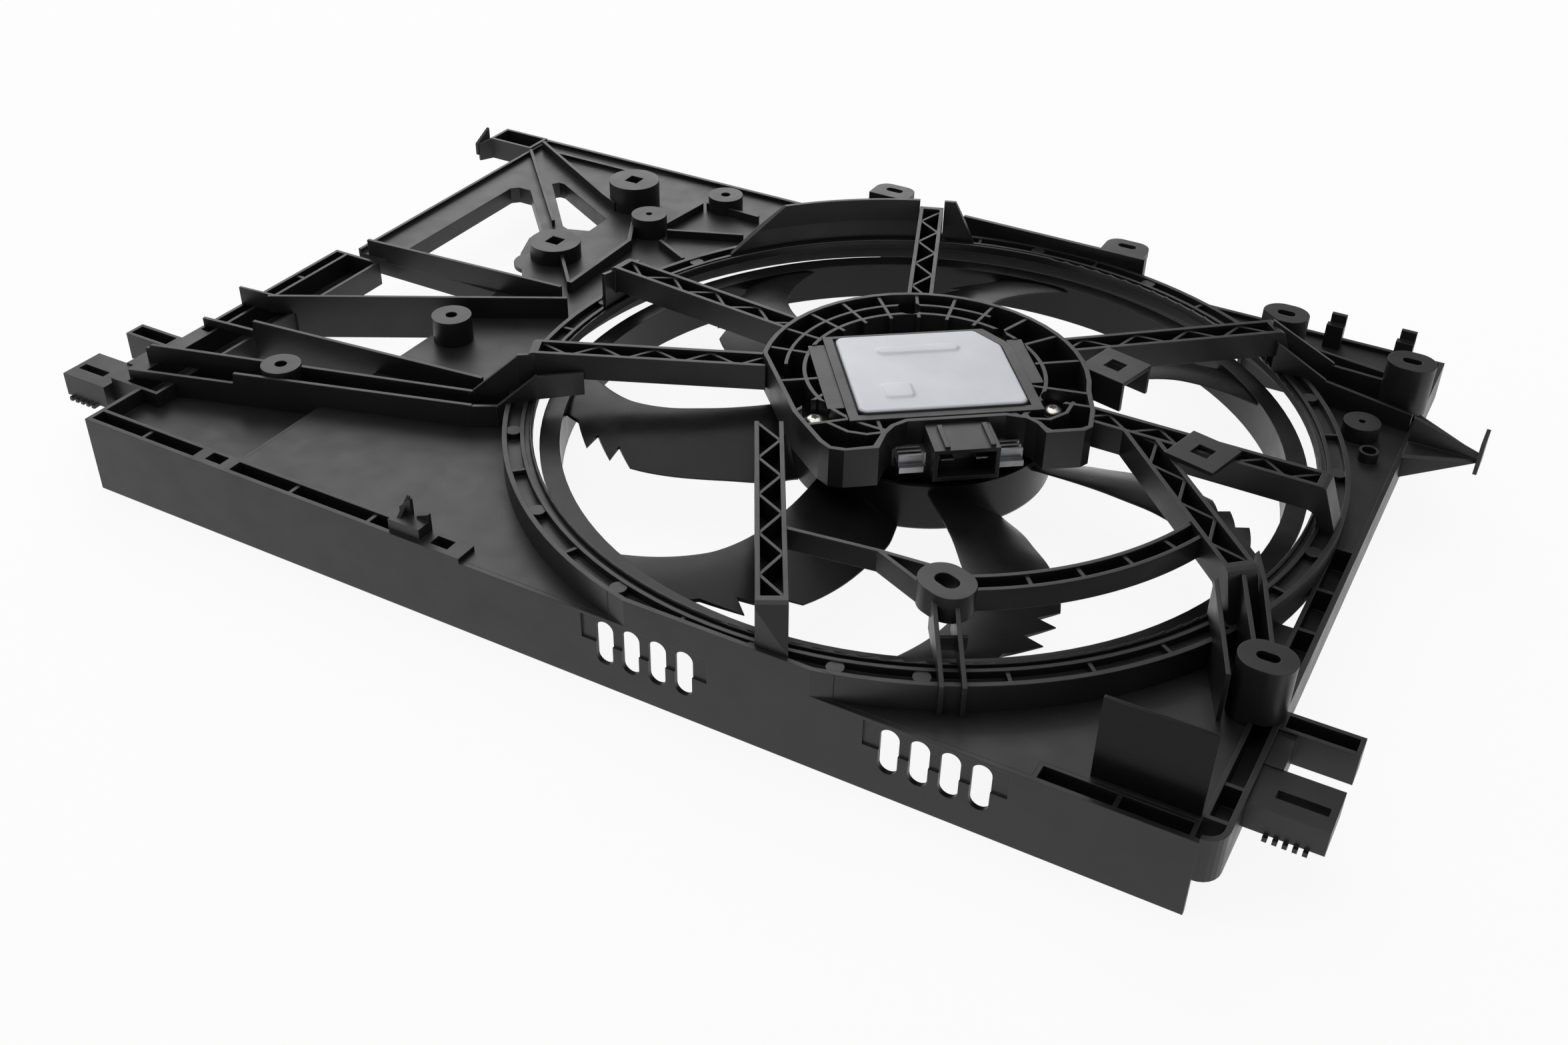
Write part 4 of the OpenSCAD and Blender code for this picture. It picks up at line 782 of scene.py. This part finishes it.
@dataclass
class TorxScrews:
    """Pan-head screws with six-lobed recesses that hold the motor to its carrier."""

    wardrobe: Wardrobe
    turns_deg: tuple[float, ...] = (242.0, 8.0, 122.0)
    circle_r_mm: float = 66.3
    head_r_mm: float = 4.8
    head_h_mm: float = 3.0
    recess_r_mm: float = 2.1
    recess_depth_mm: float = 1.7
    shank_r_mm: float = 2.5
    crown_foot: float = 0.25
    crown_deg: tuple[int, int, int] = (0, 65, 8)
    lobe_depth: float = 0.28
    recess_taper: float = 0.92
    lobes: int = 6
    points: int = 48

    def build(self) -> None:
        """Build one screw at each lug."""
        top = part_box("motor_screws")[1].z
        for number, turn in enumerate(self.turns_deg, start=1):
            t = math.radians(turn)
            middle = on_axis(self.circle_r_mm * math.cos(t), self.circle_r_mm * math.sin(t), 0.0)
            self._screw(f"motor_screw_{number}", middle, top)

    def _ring(self, middle: Vector, radius_mm: float, z: float, lobed: float = 0.0) -> list[Vector]:
        """Return one ring of a screw, lobed for the recess."""
        ring = []
        for i in range(self.points):
            t = 2 * math.pi * i / self.points
            r = radius_mm * MM * (1 - lobed * (0.5 - 0.5 * math.cos(self.lobes * t)))
            ring.append(Vector((middle.x + r * math.cos(t), middle.y + r * math.sin(t), z)))
        return ring

    def _screw(self, name: str, middle: Vector, top: float) -> None:
        """Build one screw from its shank's end up over the head and down into the recess.

        Args:
            name: Name of the piece.
            middle: Centre of the screw in the plan.
            top: Height of the head's crown.
        """
        seat = top - self.head_h_mm * MM
        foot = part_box("motor_screws")[0].z
        crown = [(self.head_r_mm * math.cos(t),
                  seat + self.head_h_mm * MM * (self.crown_foot + (1 - self.crown_foot) * math.sin(t)))
                 for t in map(math.radians, range(*self.crown_deg))]
        rings = [self._ring(middle, self.shank_r_mm, foot), self._ring(middle, self.shank_r_mm, seat),
                 self._ring(middle, self.head_r_mm, seat)]
        rings += [self._ring(middle, r, z) for r, z in crown]
        deep = crown[-1][1] - self.recess_depth_mm * MM
        rings.append(self._ring(middle, self.recess_r_mm, crown[-1][1], self.lobe_depth))
        rings.append(self._ring(middle, self.recess_r_mm * self.recess_taper, deep, self.lobe_depth))
        shape = bmesh.new()
        stack_rings(shape, rings)
        piece = finished_piece(name, shape, Finishes.SCREW_STEEL, self.wardrobe, SHROUD)
        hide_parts("motor_screws")


@dataclass
class Studio:
    """Pale floor, soft lights, even surroundings and the camera."""

    floor_half_m: float = 6.0
    floor_gap_mm: float = 0.4
    table_tone: float = 0.08
    table_shadow: float = 0.97
    table_cloud_mm: float = 900.0
    table_glow: float = 0.91
    table_roughness: float = 0.9
    horizon_glow: float = 0.93
    room_glow: float = 0.16
    horizon_rise: Point2 = (0.08, 0.4)
    softboxes: tuple[tuple[str, Point3, float, float], ...] = (
        ("overhead_softbox", (-0.2, 0.1, 2.2), 2.8, 1.35),
        ("back_softbox", (-1.6, 2.05, 1.5), 2.5, 1.9),
        ("left_softbox", (-2.0, -0.6, 1.1), 1.2, 0.8))
    camera_at: Point3 = (0.3632, -0.6856, 0.4999)
    azimuth_deg: float = 28.005
    elevation_deg: float = 35.447
    roll_deg: float = 1.364
    lens_mm: float = 38.239
    sensor_mm: float = 36.0
    nearest_m: float = 0.01
    aim: Point3 = (0.0, 0.0, 0.04)

    def build(self) -> None:
        """Set the whole studio up."""
        self.floor()
        self.surroundings()
        for name, at, side_m, radiance in self.softboxes:
            self.softbox(name, at, side_m, radiance)
        self.camera()

    def floor(self) -> None:
        """Lay a plain pale floor under the fan, lit from below as a light table is."""
        shape = bmesh.new()
        half = self.floor_half_m
        shape.faces.new([shape.verts.new((x, y, -self.floor_gap_mm * MM)) for x, y in
                         ((-half, -half), (half, -half), (half, half), (-half, half))])
        mesh = bpy.data.meshes.new("floor")
        shape.to_mesh(mesh)
        shape.free()
        floor = bpy.data.objects.new("floor", mesh)
        bpy.context.scene.collection.objects.link(floor)
        shade = Shade("pale_floor")
        cloud = shade.noise(self.table_cloud_mm, detail=2.0)
        light, dark = self.table_tone, self.table_shadow * self.table_tone
        mesh.materials.append(shade.surfaced({
            "Base Color": shade.blend(cloud, (light, light, light), (dark, dark, dark)),
            "Roughness": self.table_roughness,
            "Specular IOR Level": 0.0,
            "Emission Color": WHITE,
            "Emission Strength": self.table_glow}))

    def surroundings(self) -> None:
        """Fill the room with weak light over a pale horizon."""
        world = bpy.data.worlds.new("even_room")
        bpy.context.scene.world = world
        world.use_nodes = True
        tree = world.node_tree
        background = tree.nodes["Background"]
        background.inputs["Color"].default_value = WHITE
        split = tree.nodes.new(NodeName.SPLIT.value)
        tree.links.new(tree.nodes.new(NodeName.COORDS.value).outputs["Generated"], split.inputs["Vector"])
        fade = tree.nodes.new(NodeName.RANGE.value)
        low, high = self.horizon_rise
        for key, value in (("From Min", low), ("From Max", high), ("To Min", self.horizon_glow),
                           ("To Max", self.room_glow)):
            fade.inputs[key].default_value = value
        tree.links.new(split.outputs["Z"], fade.inputs["Value"])
        tree.links.new(fade.outputs["Result"], background.inputs["Strength"])

    def softbox(self, name: str, at: Point3, side_m: float, radiance: float) -> None:
        """Hang one square softbox that looks at the fan.

        Args:
            name: Name of the light.
            at: Where it hangs, in metres.
            side_m: Length of its side.
            radiance: How bright its face is, where 1 is the white of the picture.
        """
        data = bpy.data.lights.new(name, "AREA")
        data.shape = "SQUARE"
        data.size = side_m
        data.energy = radiance * math.pi * side_m * side_m
        light = bpy.data.objects.new(name, data)
        light.location = at
        light.rotation_euler = (Vector(self.aim) - Vector(at)).to_track_quat("-Z", "Y").to_euler()
        bpy.context.scene.collection.objects.link(light)

    def camera(self) -> None:
        """Stand the camera where the photograph was taken from."""
        azimuth, elevation = math.radians(self.azimuth_deg), math.radians(self.elevation_deg)
        back = Vector((math.sin(azimuth) * math.cos(elevation), -math.cos(azimuth) * math.cos(elevation),
                       math.sin(elevation)))
        level = Vector((math.cos(azimuth), math.sin(azimuth), 0.0))
        rise = back.cross(level)
        roll = math.radians(self.roll_deg)
        right = level * math.cos(roll) + rise * math.sin(roll)
        up = rise * math.cos(roll) - level * math.sin(roll)
        data = bpy.data.cameras.new("photo_camera")
        data.sensor_width = self.sensor_mm
        data.lens = self.lens_mm
        data.clip_start = self.nearest_m
        camera = bpy.data.objects.new("photo_camera", data)
        turn = Matrix((right, up, back)).transposed().to_4x4()
        camera.matrix_world = Matrix.Translation(self.camera_at) @ turn
        bpy.context.scene.collection.objects.link(camera)
        bpy.context.scene.camera = camera


def main() -> None:
    """Build the looks of the fan piece by piece."""
    logging.basicConfig(level=logging.INFO, format="%(name)s %(message)s")
    Studio().build()
    wardrobe = Wardrobe()
    wardrobe.dress_cad()
    Wheel(wardrobe).build()
    Controller(wardrobe).build()
    TorxScrews(wardrobe).build()
    bpy.context.scene.view_settings.view_transform = "Standard"


if __name__ == "__main__":
    main()
